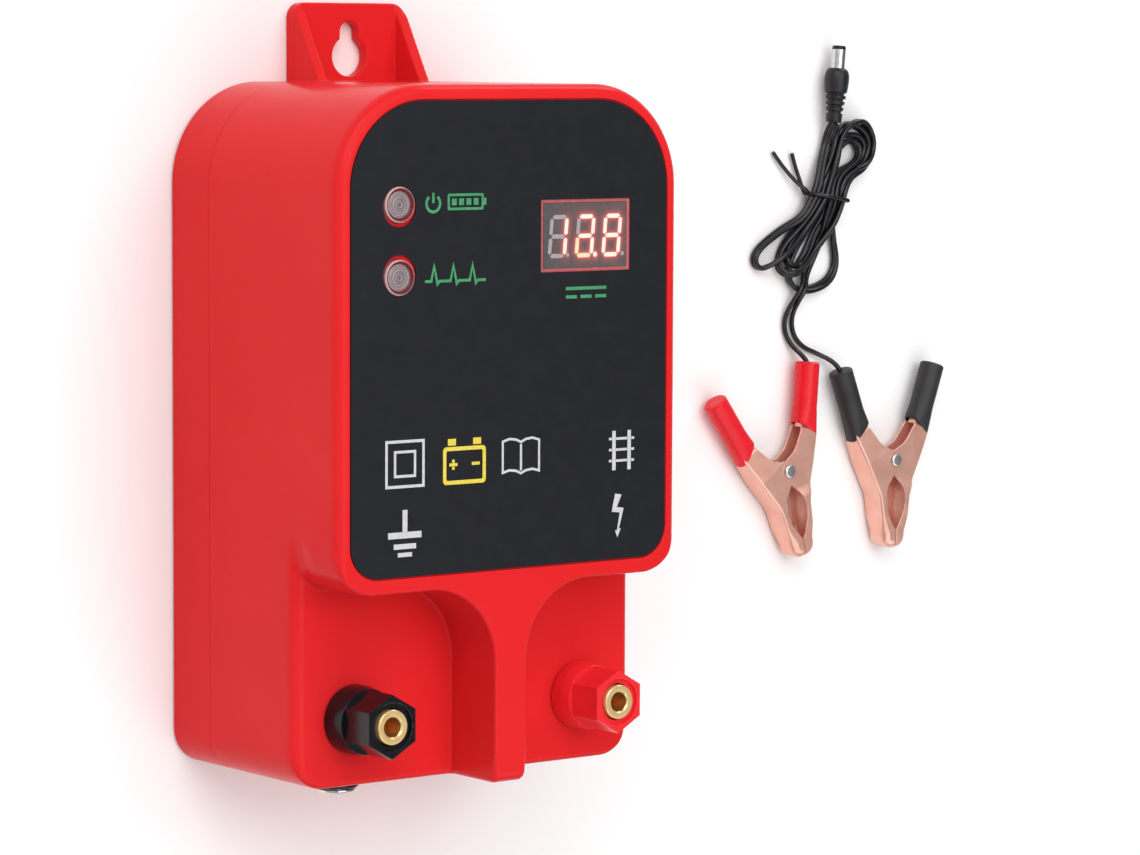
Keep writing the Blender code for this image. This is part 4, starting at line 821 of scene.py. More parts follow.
# ------------------------------------------------------------------- battery lead
# Twin cord from the plug, as it lies folded in its tie: both conductors' centres, in the lead's own millimetres.
TWIN = [
    (1.98, 47.71, 4.68, 1.59, 48.03, 3.56), (1.86, 46.31, 3.53, 1.30, 46.97, 2.74), (1.79, 45.12, 2.85, 1.19, 45.56, 1.93), (1.68, 43.84, 2.42, 1.05, 44.12, 1.46),
    (1.44, 42.52, 2.25, 0.80, 42.70, 1.28), (1.06, 41.20, 2.29, 0.42, 41.33, 1.31), (0.57, 39.91, 2.45, -0.06, 40.01, 1.46), (0.03, 38.64, 2.68, -0.59, 38.71, 1.69),
    (-0.52, 37.39, 2.96, -1.14, 37.43, 1.95), (-1.03, 36.11, 3.23, -1.64, 36.13, 2.23), (-1.50, 34.79, 3.47, -2.09, 34.84, 2.45),
    (-1.96, 33.43, 3.62, -2.53, 33.56, 2.59), (-2.44, 32.07, 3.64, -2.98, 32.30, 2.61), (-2.95, 30.75, 3.53, -3.45, 31.07, 2.52),
    (-3.47, 29.49, 3.36, -3.96, 29.86, 2.35), (-4.02, 28.32, 3.17, -4.50, 28.70, 2.16), (-4.62, 27.21, 3.02, -5.06, 27.61, 2.00),
    (-5.31, 26.18, 2.88, -5.69, 26.61, 1.86), (-6.17, 25.20, 2.72, -6.44, 25.71, 1.69), (-7.26, 24.32, 2.47, -7.41, 24.88, 1.45),
    (-8.53, 23.53, 2.19, -8.63, 24.10, 1.16), (-9.88, 22.84, 1.94, -9.98, 23.37, 0.89), (-11.21, 22.21, 1.78, -11.35, 22.68, 0.71),
    (-12.49, 21.59, 1.74, -12.69, 21.99, 0.66), (-13.76, 20.95, 1.76, -13.96, 21.29, 0.66), (-15.01, 20.28, 1.78, -15.19, 20.58, 0.66),
    (-16.23, 19.59, 1.79, -16.39, 19.85, 0.66), (-17.44, 18.88, 1.81, -17.58, 19.08, 0.66), (-18.59, 18.11, 1.82, -18.71, 18.26, 0.66),
    (-19.64, 17.24, 1.82, -19.74, 17.34, 0.66), (-20.46, 16.25, 1.83, -20.53, 16.28, 0.66), (-20.89, 15.12, 1.83, -20.91, 15.12, 0.66),
    (-20.75, 13.99, 1.83, -20.73, 14.02, 0.66), (-20.04, 13.17, 1.82, -19.98, 13.20, 0.66), (-18.99, 12.86, 1.91, -18.82, 12.85, 0.74),
    (-17.90, 13.05, 2.16, -17.51, 12.99, 1.05), (-16.83, 13.57, 2.61, -16.27, 13.48, 1.58), (-15.75, 14.32, 3.18, -15.13, 14.12, 2.19),
    (-14.58, 15.17, 3.66, -14.02, 14.81, 2.68), (-13.34, 16.05, 3.92, -12.88, 15.52, 2.97), (-12.11, 16.90, 3.93, -11.71, 16.25, 3.03),
    (-10.93, 17.75, 3.79, -10.54, 17.04, 2.94), (-9.85, 18.61, 3.59, -9.40, 17.89, 2.76), (-8.85, 19.50, 3.43, -8.31, 18.84, 2.62),
    (-7.91, 20.45, 3.36, -7.29, 19.85, 2.57), (-6.99, 21.44, 3.40, -6.32, 20.87, 2.61), (-6.07, 22.46, 3.47, -5.38, 21.89, 2.70),
    (-5.15, 23.47, 3.54, -4.46, 22.91, 2.77), (-4.26, 24.50, 3.60, -3.56, 23.96, 2.82), (-3.43, 25.55, 3.67, -2.69, 25.06, 2.88),
    (-2.66, 26.64, 3.78, -1.88, 26.23, 3.00), (-1.95, 27.80, 3.94, -1.13, 27.44, 3.17), (-1.29, 29.02, 4.10, -0.46, 28.68, 3.33), (-0.69, 30.28, 4.20, 0.14, 29.95, 3.43),
    (-0.17, 31.57, 4.24, 0.67, 31.27, 3.48), (0.28, 32.87, 4.27, 1.15, 32.60, 3.53), (0.70, 34.18, 4.34, 1.60, 33.95, 3.61), (1.11, 35.49, 4.46, 2.02, 35.29, 3.74),
    (1.52, 36.83, 4.59, 2.42, 36.61, 3.86), (1.94, 38.18, 4.67, 2.81, 37.92, 3.92), (2.39, 39.53, 4.68, 3.21, 39.22, 3.89), (2.89, 40.89, 4.59, 3.62, 40.52, 3.74),
    (3.43, 42.22, 4.42, 4.06, 41.81, 3.51), (4.02, 43.50, 4.22, 4.53, 43.09, 3.24), (4.70, 44.70, 4.07, 5.10, 44.33, 3.02), (5.53, 45.77, 4.02, 5.84, 45.51, 2.91),
    (6.57, 46.69, 4.07, 6.76, 46.52, 2.92), (7.82, 47.41, 4.11, 7.86, 47.29, 2.94), (9.23, 47.86, 4.01, 9.09, 47.81, 2.84), (10.70, 48.01, 3.72, 10.41, 48.03, 2.58),
    (12.12, 47.85, 3.29, 11.74, 47.92, 2.17), (13.41, 47.38, 2.79, 13.02, 47.48, 1.68), (14.54, 46.64, 2.33, 14.19, 46.74, 1.21),
    (15.47, 45.69, 2.01, 15.21, 45.74, 0.86), (16.17, 44.54, 1.85, 15.98, 44.55, 0.68), (16.55, 43.24, 1.81, 16.44, 43.22, 0.66),
    (16.56, 41.88, 1.85, 16.54, 41.81, 0.67), (16.20, 40.60, 2.00, 16.27, 40.37, 0.84), (15.53, 39.46, 2.27, 15.65, 39.03, 1.18),
    (14.59, 38.49, 2.64, 14.75, 37.87, 1.65), (13.42, 37.72, 3.02, 13.61, 36.92, 2.17), (12.07, 37.11, 3.34, 12.31, 36.17, 2.67),
    (10.60, 36.61, 3.54, 10.91, 35.57, 3.07), (9.11, 36.10, 3.59, 9.54, 35.02, 3.34), (7.75, 35.44, 3.52, 8.36, 34.43, 3.54), (6.62, 34.57, 3.43, 7.40, 33.74, 3.74),
    (5.72, 33.50, 3.40, 6.57, 32.91, 3.96), (5.04, 32.28, 3.39, 5.85, 31.92, 4.17), (4.65, 30.99, 3.32, 5.29, 30.78, 4.29), (4.50, 29.71, 3.17, 4.90, 29.53, 4.27),
    (4.41, 28.45, 2.99, 4.58, 28.28, 4.15), (4.23, 27.18, 2.85, 4.19, 27.09, 4.03), (3.93, 25.88, 2.79, 3.71, 25.91, 3.95), (3.50, 24.59, 2.79, 3.14, 24.74, 3.90),
    (2.94, 23.34, 2.81, 2.47, 23.59, 3.86), (2.27, 22.15, 2.80, 1.70, 22.46, 3.78), (1.52, 21.02, 2.69, 0.85, 21.36, 3.61), (0.71, 19.93, 2.47, -0.02, 20.28, 3.33),
    (-0.13, 18.85, 2.18, -0.88, 19.24, 3.01), (-1.01, 17.76, 1.95, -1.74, 18.22, 2.76), (-1.92, 16.65, 1.84, -2.60, 17.19, 2.64),
    (-2.85, 15.56, 1.85, -3.48, 16.15, 2.64), (-3.83, 14.49, 1.94, -4.40, 15.14, 2.74), (-4.90, 13.49, 2.10, -5.38, 14.21, 2.90),
    (-6.08, 12.59, 2.32, -6.44, 13.38, 3.13), (-7.35, 11.85, 2.60, -7.59, 12.67, 3.41), (-8.68, 11.29, 2.85, -8.85, 12.11, 3.68),
    (-10.00, 10.95, 2.88, -10.21, 11.71, 3.76), (-11.25, 10.90, 2.58, -11.54, 11.59, 3.50), (-12.31, 11.24, 1.98, -12.66, 11.85, 2.93),
    (-13.05, 12.04, 1.27, -13.37, 12.52, 2.30), (-13.38, 13.25, 0.78, -13.64, 13.50, 1.90), (-13.30, 14.61, 0.66, -13.52, 14.68, 1.78),
    (-12.93, 15.90, 0.66, -13.08, 15.94, 1.80), (-12.34, 17.13, 0.66, -12.43, 17.14, 1.84), (-11.60, 18.29, 0.72, -11.64, 18.24, 1.90),
    (-10.74, 19.39, 0.83, -10.76, 19.26, 2.00), (-9.80, 20.42, 0.99, -9.80, 20.22, 2.15), (-8.85, 21.43, 1.17, -8.79, 21.18, 2.32),
    (-7.89, 22.42, 1.32, -7.76, 22.15, 2.46), (-6.93, 23.41, 1.42, -6.71, 23.12, 2.54), (-5.98, 24.42, 1.47, -5.68, 24.10, 2.57),
    (-5.07, 25.49, 1.53, -4.70, 25.11, 2.59), (-4.26, 26.62, 1.66, -3.83, 26.19, 2.67), (-3.58, 27.81, 1.89, -3.05, 27.33, 2.82),
    (-3.01, 29.03, 2.17, -2.36, 28.54, 3.02), (-2.51, 30.26, 2.44, -1.71, 29.81, 3.18), (-2.00, 31.52, 2.62, -1.08, 31.08, 3.21),
    (-1.43, 32.80, 2.71, -0.44, 32.32, 3.12), (-0.81, 34.07, 2.77, 0.21, 33.54, 3.00), (-0.18, 35.32, 2.83, 0.87, 34.78, 2.89), (0.43, 36.55, 2.93, 1.50, 36.06, 2.83),
    (0.98, 37.81, 3.07, 2.06, 37.40, 2.82), (1.45, 39.09, 3.22, 2.51, 38.79, 2.82), (1.86, 40.44, 3.36, 2.87, 40.19, 2.80), (2.26, 41.84, 3.45, 3.17, 41.59, 2.74),
    (2.73, 43.29, 3.41, 3.48, 42.92, 2.58), (3.38, 44.69, 3.15, 3.89, 44.13, 2.25), (4.26, 45.88, 2.68, 4.50, 45.17, 1.76), (5.34, 46.72, 2.17, 5.39, 46.02, 1.23),
    (6.55, 47.25, 1.83, 6.55, 46.64, 0.82), (7.86, 47.47, 1.71, 7.87, 46.97, 0.66), (9.24, 47.41, 1.75, 9.22, 47.02, 0.66), (10.60, 47.08, 1.80, 10.55, 46.81, 0.66),
    (11.89, 46.53, 1.82, 11.82, 46.37, 0.66), (13.05, 45.79, 1.83, 13.00, 45.71, 0.66), (14.00, 44.83, 1.83, 13.99, 44.82, 0.66),
    (14.63, 43.66, 1.83, 14.69, 43.68, 0.66), (14.89, 42.34, 1.83, 15.04, 42.36, 0.66), (14.78, 40.99, 1.80, 15.01, 40.97, 0.66),
    (14.32, 39.70, 1.77, 14.63, 39.55, 0.66), (13.58, 38.55, 1.82, 13.91, 38.17, 0.75), (12.57, 37.60, 1.99, 12.86, 36.94, 1.05),
    (11.28, 36.86, 2.24, 11.55, 35.99, 1.49), (9.78, 36.30, 2.41, 10.10, 35.28, 1.91), (8.27, 35.77, 2.40, 8.73, 34.70, 2.20), (6.96, 35.08, 2.18, 7.59, 34.09, 2.33),
    (5.91, 34.19, 1.83, 6.57, 33.35, 2.35), (5.05, 33.14, 1.48, 5.61, 32.52, 2.32), (4.36, 31.95, 1.24, 4.74, 31.64, 2.31), (3.91, 30.69, 1.18, 4.06, 30.64, 2.35),
    (3.71, 29.46, 1.18, 3.60, 29.46, 2.35), (3.68, 28.30, 1.08, 3.35, 28.12, 2.20), (3.79, 27.04, 0.88, 3.31, 26.81, 1.93), (4.02, 25.71, 0.70, 3.40, 25.51, 1.69),
    (4.26, 24.32, 0.66, 3.53, 24.20, 1.56), (4.44, 22.93, 0.66, 3.62, 22.85, 1.50), (4.58, 21.55, 0.66, 3.69, 21.46, 1.43), (4.75, 20.19, 0.66, 3.80, 20.05, 1.33),
    (4.98, 18.85, 0.66, 3.98, 18.65, 1.23), (5.28, 17.50, 0.66, 4.22, 17.26, 1.13), (5.57, 16.12, 0.66, 4.47, 15.91, 1.03), (5.78, 14.69, 0.66, 4.63, 14.60, 0.91),
    (5.76, 13.21, 0.66, 4.60, 13.34, 0.79), (5.43, 11.76, 0.69, 4.32, 12.17, 0.69), (4.74, 10.44, 0.78, 3.77, 11.10, 0.66), (3.75, 9.34, 0.92, 2.97, 10.18, 0.66),
    (2.55, 8.47, 1.05, 1.96, 9.41, 0.66), (1.23, 7.83, 1.16, 0.80, 8.80, 0.66), (-0.15, 7.36, 1.27, -0.47, 8.32, 0.66), (-1.57, 7.04, 1.37, -1.79, 7.95, 0.66),
    (-3.01, 6.84, 1.47, -3.14, 7.68, 0.66), (-4.47, 6.78, 1.56, -4.50, 7.54, 0.66), (-5.92, 6.91, 1.63, -5.85, 7.57, 0.66), (-7.30, 7.30, 1.69, -7.14, 7.83, 0.66),
    (-8.54, 7.96, 1.74, -8.30, 8.35, 0.66), (-9.53, 8.91, 1.78, -9.24, 9.15, 0.66), (-10.17, 10.09, 1.79, -9.88, 10.21, 0.66), (-10.40, 11.44, 1.81, -10.12, 11.45, 0.66),
    (-10.24, 12.86, 1.81, -9.96, 12.79, 0.66), (-9.77, 14.27, 1.79, -9.48, 14.14, 0.66), (-9.12, 15.58, 1.78, -8.81, 15.41, 0.66),
    (-8.37, 16.79, 1.77, -8.05, 16.55, 0.66), (-7.56, 17.91, 1.75, -7.23, 17.64, 0.66), (-6.75, 19.01, 1.73, -6.38, 18.73, 0.66),
    (-5.93, 20.12, 1.72, -5.54, 19.82, 0.66), (-5.12, 21.23, 1.71, -4.71, 20.93, 0.66), (-4.30, 22.35, 1.71, -3.88, 22.04, 0.66),
    (-3.47, 23.47, 1.70, -3.05, 23.15, 0.66), (-2.65, 24.58, 1.70, -2.23, 24.28, 0.66), (-1.90, 25.69, 1.73, -1.43, 25.46, 0.67),
    (-1.24, 26.84, 1.84, -0.72, 26.71, 0.79), (-0.70, 28.07, 2.03, -0.15, 28.02, 0.99), (-0.27, 29.41, 2.19, 0.26, 29.33, 1.15), (0.07, 30.84, 2.14, 0.56, 30.60, 1.09),
    (0.35, 32.20, 1.92, 0.84, 31.93, 0.89), (0.60, 33.51, 1.73, 1.12, 33.29, 0.69), (0.87, 34.78, 1.67, 1.42, 34.66, 0.66), (1.15, 36.07, 1.73, 1.72, 36.07, 0.70),
    (1.40, 37.47, 1.91, 1.95, 37.50, 0.86), (1.62, 39.00, 2.00, 2.10, 38.92, 0.92), (1.99, 40.49, 1.92, 2.36, 40.25, 0.82), (2.68, 41.72, 1.78, 2.95, 41.41, 0.68),
    (3.65, 42.66, 1.74, 3.88, 42.37, 0.66), (4.82, 43.42, 1.77, 5.00, 43.16, 0.66), (6.07, 44.06, 1.80, 6.20, 43.82, 0.66), (7.38, 44.54, 1.82, 7.45, 44.33, 0.66),
    (8.74, 44.81, 1.82, 8.75, 44.62, 0.66), (10.10, 44.79, 1.82, 10.08, 44.63, 0.66), (11.39, 44.45, 1.82, 11.34, 44.33, 0.66), (12.48, 43.76, 1.83, 12.40, 43.67, 0.66),
    (13.21, 42.75, 1.83, 13.09, 42.70, 0.66), (13.44, 41.54, 1.82, 13.28, 41.55, 0.66), (13.17, 40.29, 1.81, 12.96, 40.39, 0.66),
    (12.51, 39.12, 1.79, 12.26, 39.35, 0.66), (11.58, 38.08, 1.73, 11.30, 38.48, 0.66), (10.49, 37.18, 1.62, 10.17, 37.77, 0.66), (9.29, 36.40, 1.46, 8.95, 37.19, 0.66),
    (8.02, 35.74, 1.28, 7.66, 36.67, 0.66), (6.76, 35.11, 1.08, 6.30, 36.11, 0.66), (5.55, 34.42, 0.89, 4.94, 35.40, 0.66), (4.46, 33.58, 0.79, 3.66, 34.44, 0.69),
    (3.60, 32.58, 0.84, 2.62, 33.24, 0.88), (3.02, 31.42, 1.02, 1.92, 31.83, 1.14), (2.70, 30.14, 1.16, 1.55, 30.34, 1.32), (2.56, 28.78, 1.14, 1.40, 28.85, 1.30),
    (2.48, 27.38, 0.99, 1.31, 27.45, 1.12), (2.30, 25.96, 0.80, 1.15, 26.19, 0.92), (1.84, 24.57, 0.68, 0.78, 25.05, 0.78), (1.10, 23.31, 0.66, 0.14, 24.00, 0.70),
    (0.21, 22.20, 0.68, -0.70, 22.95, 0.66), (-0.65, 21.14, 0.80, -1.59, 21.84, 0.66), (-1.43, 20.05, 0.97, -2.40, 20.63, 0.66), (-2.13, 18.89, 1.14, -3.09, 19.39, 0.66),
    (-2.84, 17.70, 1.30, -3.72, 18.17, 0.66), (-3.63, 16.53, 1.44, -4.38, 16.99, 0.66), (-4.50, 15.43, 1.56, -5.10, 15.85, 0.66),
    (-5.47, 14.44, 1.68, -5.94, 14.78, 0.66), (-6.52, 13.64, 1.89, -6.91, 13.83, 0.79), (-7.70, 13.13, 2.21, -8.02, 13.18, 1.08),
    (-9.04, 13.08, 2.52, -9.22, 13.02, 1.35), (-10.33, 13.58, 2.57, -10.34, 13.38, 1.40), (-11.18, 14.53, 2.31, -11.09, 14.22, 1.18),
    (-11.29, 15.67, 1.98, -11.16, 15.38, 0.84), (-10.88, 16.82, 1.80, -10.66, 16.62, 0.66), (-10.16, 17.97, 1.77, -9.90, 17.79, 0.66),
    (-9.27, 19.09, 1.78, -9.02, 18.88, 0.66), (-8.33, 20.16, 1.78, -8.08, 19.92, 0.66), (-7.36, 21.19, 1.77, -7.11, 20.94, 0.66),
    (-6.40, 22.20, 1.77, -6.13, 21.94, 0.66), (-5.44, 23.22, 1.76, -5.15, 22.95, 0.66), (-4.50, 24.25, 1.75, -4.20, 23.97, 0.66),
    (-3.64, 25.31, 1.73, -3.29, 25.04, 0.66), (-2.88, 26.41, 1.75, -2.45, 26.21, 0.67), (-2.25, 27.54, 1.87, -1.74, 27.45, 0.81),
    (-1.74, 28.77, 2.08, -1.19, 28.73, 1.03), (-1.32, 30.13, 2.21, -0.81, 29.98, 1.16), (-1.00, 31.52, 2.05, -0.53, 31.26, 1.00),
    (-0.78, 32.86, 1.83, -0.31, 32.65, 0.76), (-0.61, 34.19, 1.72, -0.16, 34.11, 0.66), (-0.42, 35.56, 1.74, -0.01, 35.52, 0.66), (-0.01, 36.93, 1.80, 0.32, 36.81, 0.67),
    (0.82, 38.14, 1.81, 1.04, 37.92, 0.67), (2.06, 39.07, 1.80, 2.21, 38.82, 0.66), (3.42, 39.85, 1.80, 3.57, 39.61, 0.66), (4.65, 40.66, 1.80, 4.82, 40.46, 0.66),
    (5.71, 41.56, 1.82, 5.87, 41.37, 0.67), (6.75, 42.41, 1.82, 6.88, 42.22, 0.66), (7.89, 43.05, 1.81, 7.97, 42.84, 0.66), (9.13, 43.33, 1.80, 9.14, 43.10, 0.66),
    (10.32, 43.15, 1.81, 10.27, 42.91, 0.66), (11.24, 42.52, 1.89, 11.18, 42.26, 0.75), (11.72, 41.56, 2.10, 11.63, 41.27, 0.97),
    (11.68, 40.43, 2.39, 11.53, 40.19, 1.24), (11.14, 39.31, 2.65, 10.97, 39.17, 1.49), (10.23, 38.33, 2.84, 10.09, 38.31, 1.67), (9.11, 37.51, 2.94, 9.00, 37.59, 1.76),
    (7.89, 36.77, 2.96, 7.80, 36.93, 1.79), (6.69, 36.00, 2.92, 6.58, 36.22, 1.76), (5.63, 35.11, 2.87, 5.42, 35.35, 1.73), (4.76, 34.09, 2.89, 4.39, 34.28, 1.78),
    (4.08, 32.94, 3.01, 3.55, 33.05, 1.96), (3.57, 31.66, 3.20, 2.91, 31.73, 2.22), (3.19, 30.28, 3.36, 2.44, 30.39, 2.45), (2.91, 28.84, 3.35, 2.07, 29.06, 2.54),
    (2.68, 27.42, 3.12, 1.76, 27.72, 2.45), (2.46, 26.06, 2.74, 1.45, 26.38, 2.23), (2.23, 24.73, 2.34, 1.14, 25.03, 1.99), (1.99, 23.39, 2.01, 0.85, 23.64, 1.81),
    (1.73, 22.01, 1.71, 0.58, 22.26, 1.64), (1.38, 20.61, 1.39, 0.25, 20.95, 1.40), (0.88, 19.25, 1.05, -0.20, 19.72, 1.08), (0.24, 17.99, 0.78, -0.80, 18.54, 0.80),
    (-0.43, 16.77, 0.67, -1.46, 17.35, 0.66), (-1.10, 15.56, 0.67, -2.13, 16.14, 0.66), (-1.79, 14.34, 0.69, -2.81, 14.92, 0.66),
    (-2.49, 13.13, 0.70, -3.50, 13.72, 0.66),
]
TAIL_ONE = [(-2.49, 13.13, 0.70), (-4.28, 10.19, 1.24), (-6.03, 7.39, 2.80), (-7.74, 4.27, 2.13), (-7.74, 4.27, 2.13)]
TAIL_TWO = [(-3.50, 13.72, 0.66), (-5.29, 10.79, 1.16), (-7.06, 7.96, 2.68), (-8.71, 4.90, 1.87), (-8.71, 4.90, 1.87)]
TIE_RING = [(5.96, 28.78, 4.24), (5.56, 28.85, 5.10), (4.62, 29.02, 5.32), (3.64, 29.20, 5.32), (2.65, 29.38, 5.31), (1.67, 29.55, 5.29), (0.68, 29.73, 5.28), (-0.30, 29.91, 5.27), (-1.28, 30.08, 5.18), (-2.22, 30.25, 4.88), (-3.15, 30.42, 4.58), (-4.01, 30.58, 4.14), (-4.57, 30.68, 3.33), (-5.01, 30.76, 2.46), (-4.68, 30.70, 1.57), (-3.81, 30.54, 1.14), (-2.90, 30.38, 0.76), (-1.99, 30.21, 0.45), (-1.06, 30.05, 0.45), (-0.08, 29.87, 0.45), (0.90, 29.69, 0.45), (1.89, 29.51, 0.45), (2.87, 29.34, 0.45), (3.86, 29.16, 0.45), (4.65, 29.02, 0.57), (5.02, 28.95, 1.48), (5.36, 28.89, 2.40), (5.69, 28.83, 3.33)]


def lead(points, at=(0.0, 0.0), turn=0.0):
    """Points of the lead, or of a clip at a place and turn on it, in the unit's frame."""
    points = np.asarray(points, float)
    c, s = math.cos(math.radians(turn)), math.sin(math.radians(turn))
    out = points @ np.array(((c, s, 0), (-s, c, 0), (0, 0, 1)))
    return out + (LEAD_AT[0] + at[0], LEAD_AT[1] + at[1], 0.0)


def through(points, steps):
    """Smooth line through points (Catmull-Rom)."""
    p = np.asarray(points, float)
    p = np.concatenate([[2 * p[0] - p[1]], p, [2 * p[-1] - p[-2]]])
    t = (np.arange(steps) / steps)[:, None, None]
    a, b, c, d = p[:-3], p[1:-2], p[2:-1], p[3:]
    out = 0.5 * (2 * b + (c - a) * t + (2 * a - 5 * b + 4 * c - d) * t**2 + (3 * b - a - 3 * c + d) * t**3)
    return np.concatenate([out.transpose(1, 0, 2).reshape(-1, p.shape[1]), p[-2:-1]])


def lines_of(path, side=None):
    """Direction and two cross directions along a path; side holds the first of them where given."""
    ahead = np.gradient(path, axis=0)
    ahead /= np.linalg.norm(ahead, axis=1)[:, None]
    if side is None:
        side = np.zeros_like(path)
        last = np.cross(ahead[0], (0.0, 0.0, 1.0))
        for i, d in enumerate(ahead):
            last = last - d * np.dot(last, d)
            last = last / np.linalg.norm(last)
            side[i] = last
    else:
        side = side - ahead * np.sum(side * ahead, 1)[:, None]
        side /= np.linalg.norm(side, axis=1)[:, None]
    return ahead, side, np.cross(ahead, side)


def swept(path, section, side=None):
    """Closed tube of a fixed section (u, v) along a path."""
    path = np.asarray(path, float)
    section = np.asarray(section, float)
    _, u, v = lines_of(path, side)
    rows = path[:, None, :] + section[None, :, :1] * u[:, None, :] + section[None, :, 1:] * v[:, None, :]
    n, m = len(path), len(section)
    faces = [(i * m + j, i * m + (j + 1) % m, (i + 1) * m + (j + 1) % m, (i + 1) * m + j) for i in range(n - 1) for j in range(m)]
    return rows.reshape(-1, 3), faces + [tuple(range(m))[::-1], tuple(range((n - 1) * m, n * m))]


WIRE_R = 0.6
twin = through(TWIN, 2)
one, two = twin[:, :3], twin[:, 3:]
line = (one + two) / 2
lobe = [(0.575 + 0.63 * math.cos(math.radians(a)), 0.63 * math.sin(math.radians(a))) for a in range(-150, 151, 25)]
section = lobe + [(-x, -y) for x, y in lobe]
points, faces = swept(line, section, one - two)
points[:, 2] = np.maximum(points[:, 2], 0.02)
cord_piece = piece("battery_cord", lead(points), faces, CORD, "root", ["lead_hank"], "black_cord", sharp=50, weighted=False)

tie_line = through([(-14.9, 40.7, 0.7), (-12.0, 37.2, 1.1), (-8.9, 33.8, 2.0), (-6.3, 31.6, 3.0)] + TIE_RING[13::-1] + TIE_RING[:13:-1] + [(-5.75, 30.9, 1.7), (-6.6, 33.4, 1.3), (-7.8, 36.9, 0.9), (-8.9, 40.4, 0.7)], 4)
points, faces = swept(tie_line, [(0.5 * math.cos(2 * math.pi * k / 12), 0.42 * math.sin(2 * math.pi * k / 12)) for k in range(12)])
tie_piece = piece("twist_tie_look", lead(points), faces, CORD, "root", ["twist_tie"], "black_cord", sharp=60, weighted=False)

# Coaxial plug: soft grip with slots either side of a spine, bright barrel, black tip.
PLUG_END, PLUG_TURN, PLUG_Z = (1.9, 47.8), -4.9, 3.6


def plug_place(points):
    """Turned points, with their axis laid along the plug."""
    p = np.asarray(points, float)
    return lead(np.stack([p[:, 0], p[:, 2], p[:, 1] + PLUG_Z], 1), PLUG_END, PLUG_TURN)


stations = np.concatenate([[0.0, 0.12, 0.35], np.arange(0.7, 1.9, 0.4), np.arange(2.0, 7.75, 0.1), np.arange(8.0, 11.4, 0.6), np.linspace(11.5, 13.2, 12)])
girth = np.interp(stations, [0, 0.12, 0.35, 2.5, 4.5, 6.5, 8.2, 9.6, 10.8, 11.7, 12.3, 12.75, 13.0, 13.15, 13.2], [1.65, 1.8, 1.9, 2.05, 2.28, 2.55, 2.82, 2.98, 3.0, 2.92, 2.75, 2.5, 2.2, 1.95, 1.85])
steps = 72
rows = []
for s, r in zip(stations, girth):
    slot_depth = 0.62 * max((ease((0.36 - abs(s - at)) / 0.13) for at in (2.55, 4.0, 5.45, 6.9)), default=0.0)
    for k in range(steps):
        a = 2 * math.pi * k / steps
        spine = ease((abs(math.cos(a)) - 0.17) / 0.08)
        rows.append(((r - slot_depth * spine) * math.cos(a), (r - slot_depth * spine) * math.sin(a), s))
n = len(stations)
faces = [(i * steps + j, (i + 1) * steps + j, (i + 1) * steps + (j + 1) % steps, i * steps + (j + 1) % steps) for i in range(n - 1) for j in range(steps)]
faces += [tuple(range(steps)), tuple(range((n - 1) * steps, n * steps))[::-1]]
plug_grip = piece("plug_grip_look", plug_place(rows), faces, GRIP, "root", ["plug_grip"], "black_cord", sharp=38, weighted=False)
points, faces = turned(rounded([(1.2, 13.0), (1.75, 13.0, 0), (1.75, 17.75, 0.12), (1.2, 17.75, 0.05), (1.2, 13.0)], 0.1, 3), 48)
plug_barrel = piece("plug_barrel_look", plug_place(points), faces, NICKEL, "root", ["plug_barrel"], "nickel", sharp=45)
points, faces = turned(rounded([(0.68, 13.4), (1.1, 13.4, 0), (1.1, 17.8, 0), (1.72, 17.8, 0.05), (1.72, 18.15, 0.2), (1.5, 18.65, 0.2), (0.78, 18.65, 0.08), (0.68, 18.45, 0.05), (0.68, 13.4)], 0.1, 3), 48)
plug_tip = piece("plug_tip_look", plug_place(points), faces, BLACK, "root", ["plug_insulator"], "black_plastic", sharp=45)


# Spring clips.
CLIP_MID, SHEET, LEAN = 3.9, 0.6, math.radians(20.0)
AXIS = (-math.sin(LEAN), math.cos(LEAN))
MOUTH_AT = (-9.4, 6.8)


class Plan:
    """Signed distance from a closed outline, read from a fine table."""

    def __init__(self, outline, x0, x1, y0, y1, step=0.08):
        self.x0, self.y0, self.step = x0, y0, step
        xs, ys = np.arange(x0, x1, step), np.arange(y0, y1, step)
        gx, gy = np.meshgrid(xs, ys, indexing="ij")
        best, odd = np.full(gx.shape, 1e9), np.zeros(gx.shape, bool)
        pts = np.asarray(outline, float)
        for (ax, ay), (bx, by) in zip(pts, np.roll(pts, -1, 0)):
            dx, dy = bx - ax, by - ay
            if dx * dx + dy * dy < 1e-12:
                continue
            t = np.clip(((gx - ax) * dx + (gy - ay) * dy) / (dx * dx + dy * dy), 0, 1)
            best = np.minimum(best, np.hypot(gx - ax - t * dx, gy - ay - t * dy))
            if dy:
                odd ^= ((ay > gy) != (by > gy)) & (gx < dx * (gy - ay) / dy + ax)
        self.table = np.where(odd, -best, best)

    def __call__(self, x, y):
        i, j = (x - self.x0) / self.step, (y - self.y0) / self.step
        a = np.clip(i.astype(int), 0, self.table.shape[0] - 2)
        b = np.clip(j.astype(int), 0, self.table.shape[1] - 2)
        u, v = i - a, j - b
        t = self.table
        return (t[a, b] * (1 - u) + t[a + 1, b] * u) * (1 - v) + (t[a, b + 1] * (1 - u) + t[a + 1, b + 1] * u) * v


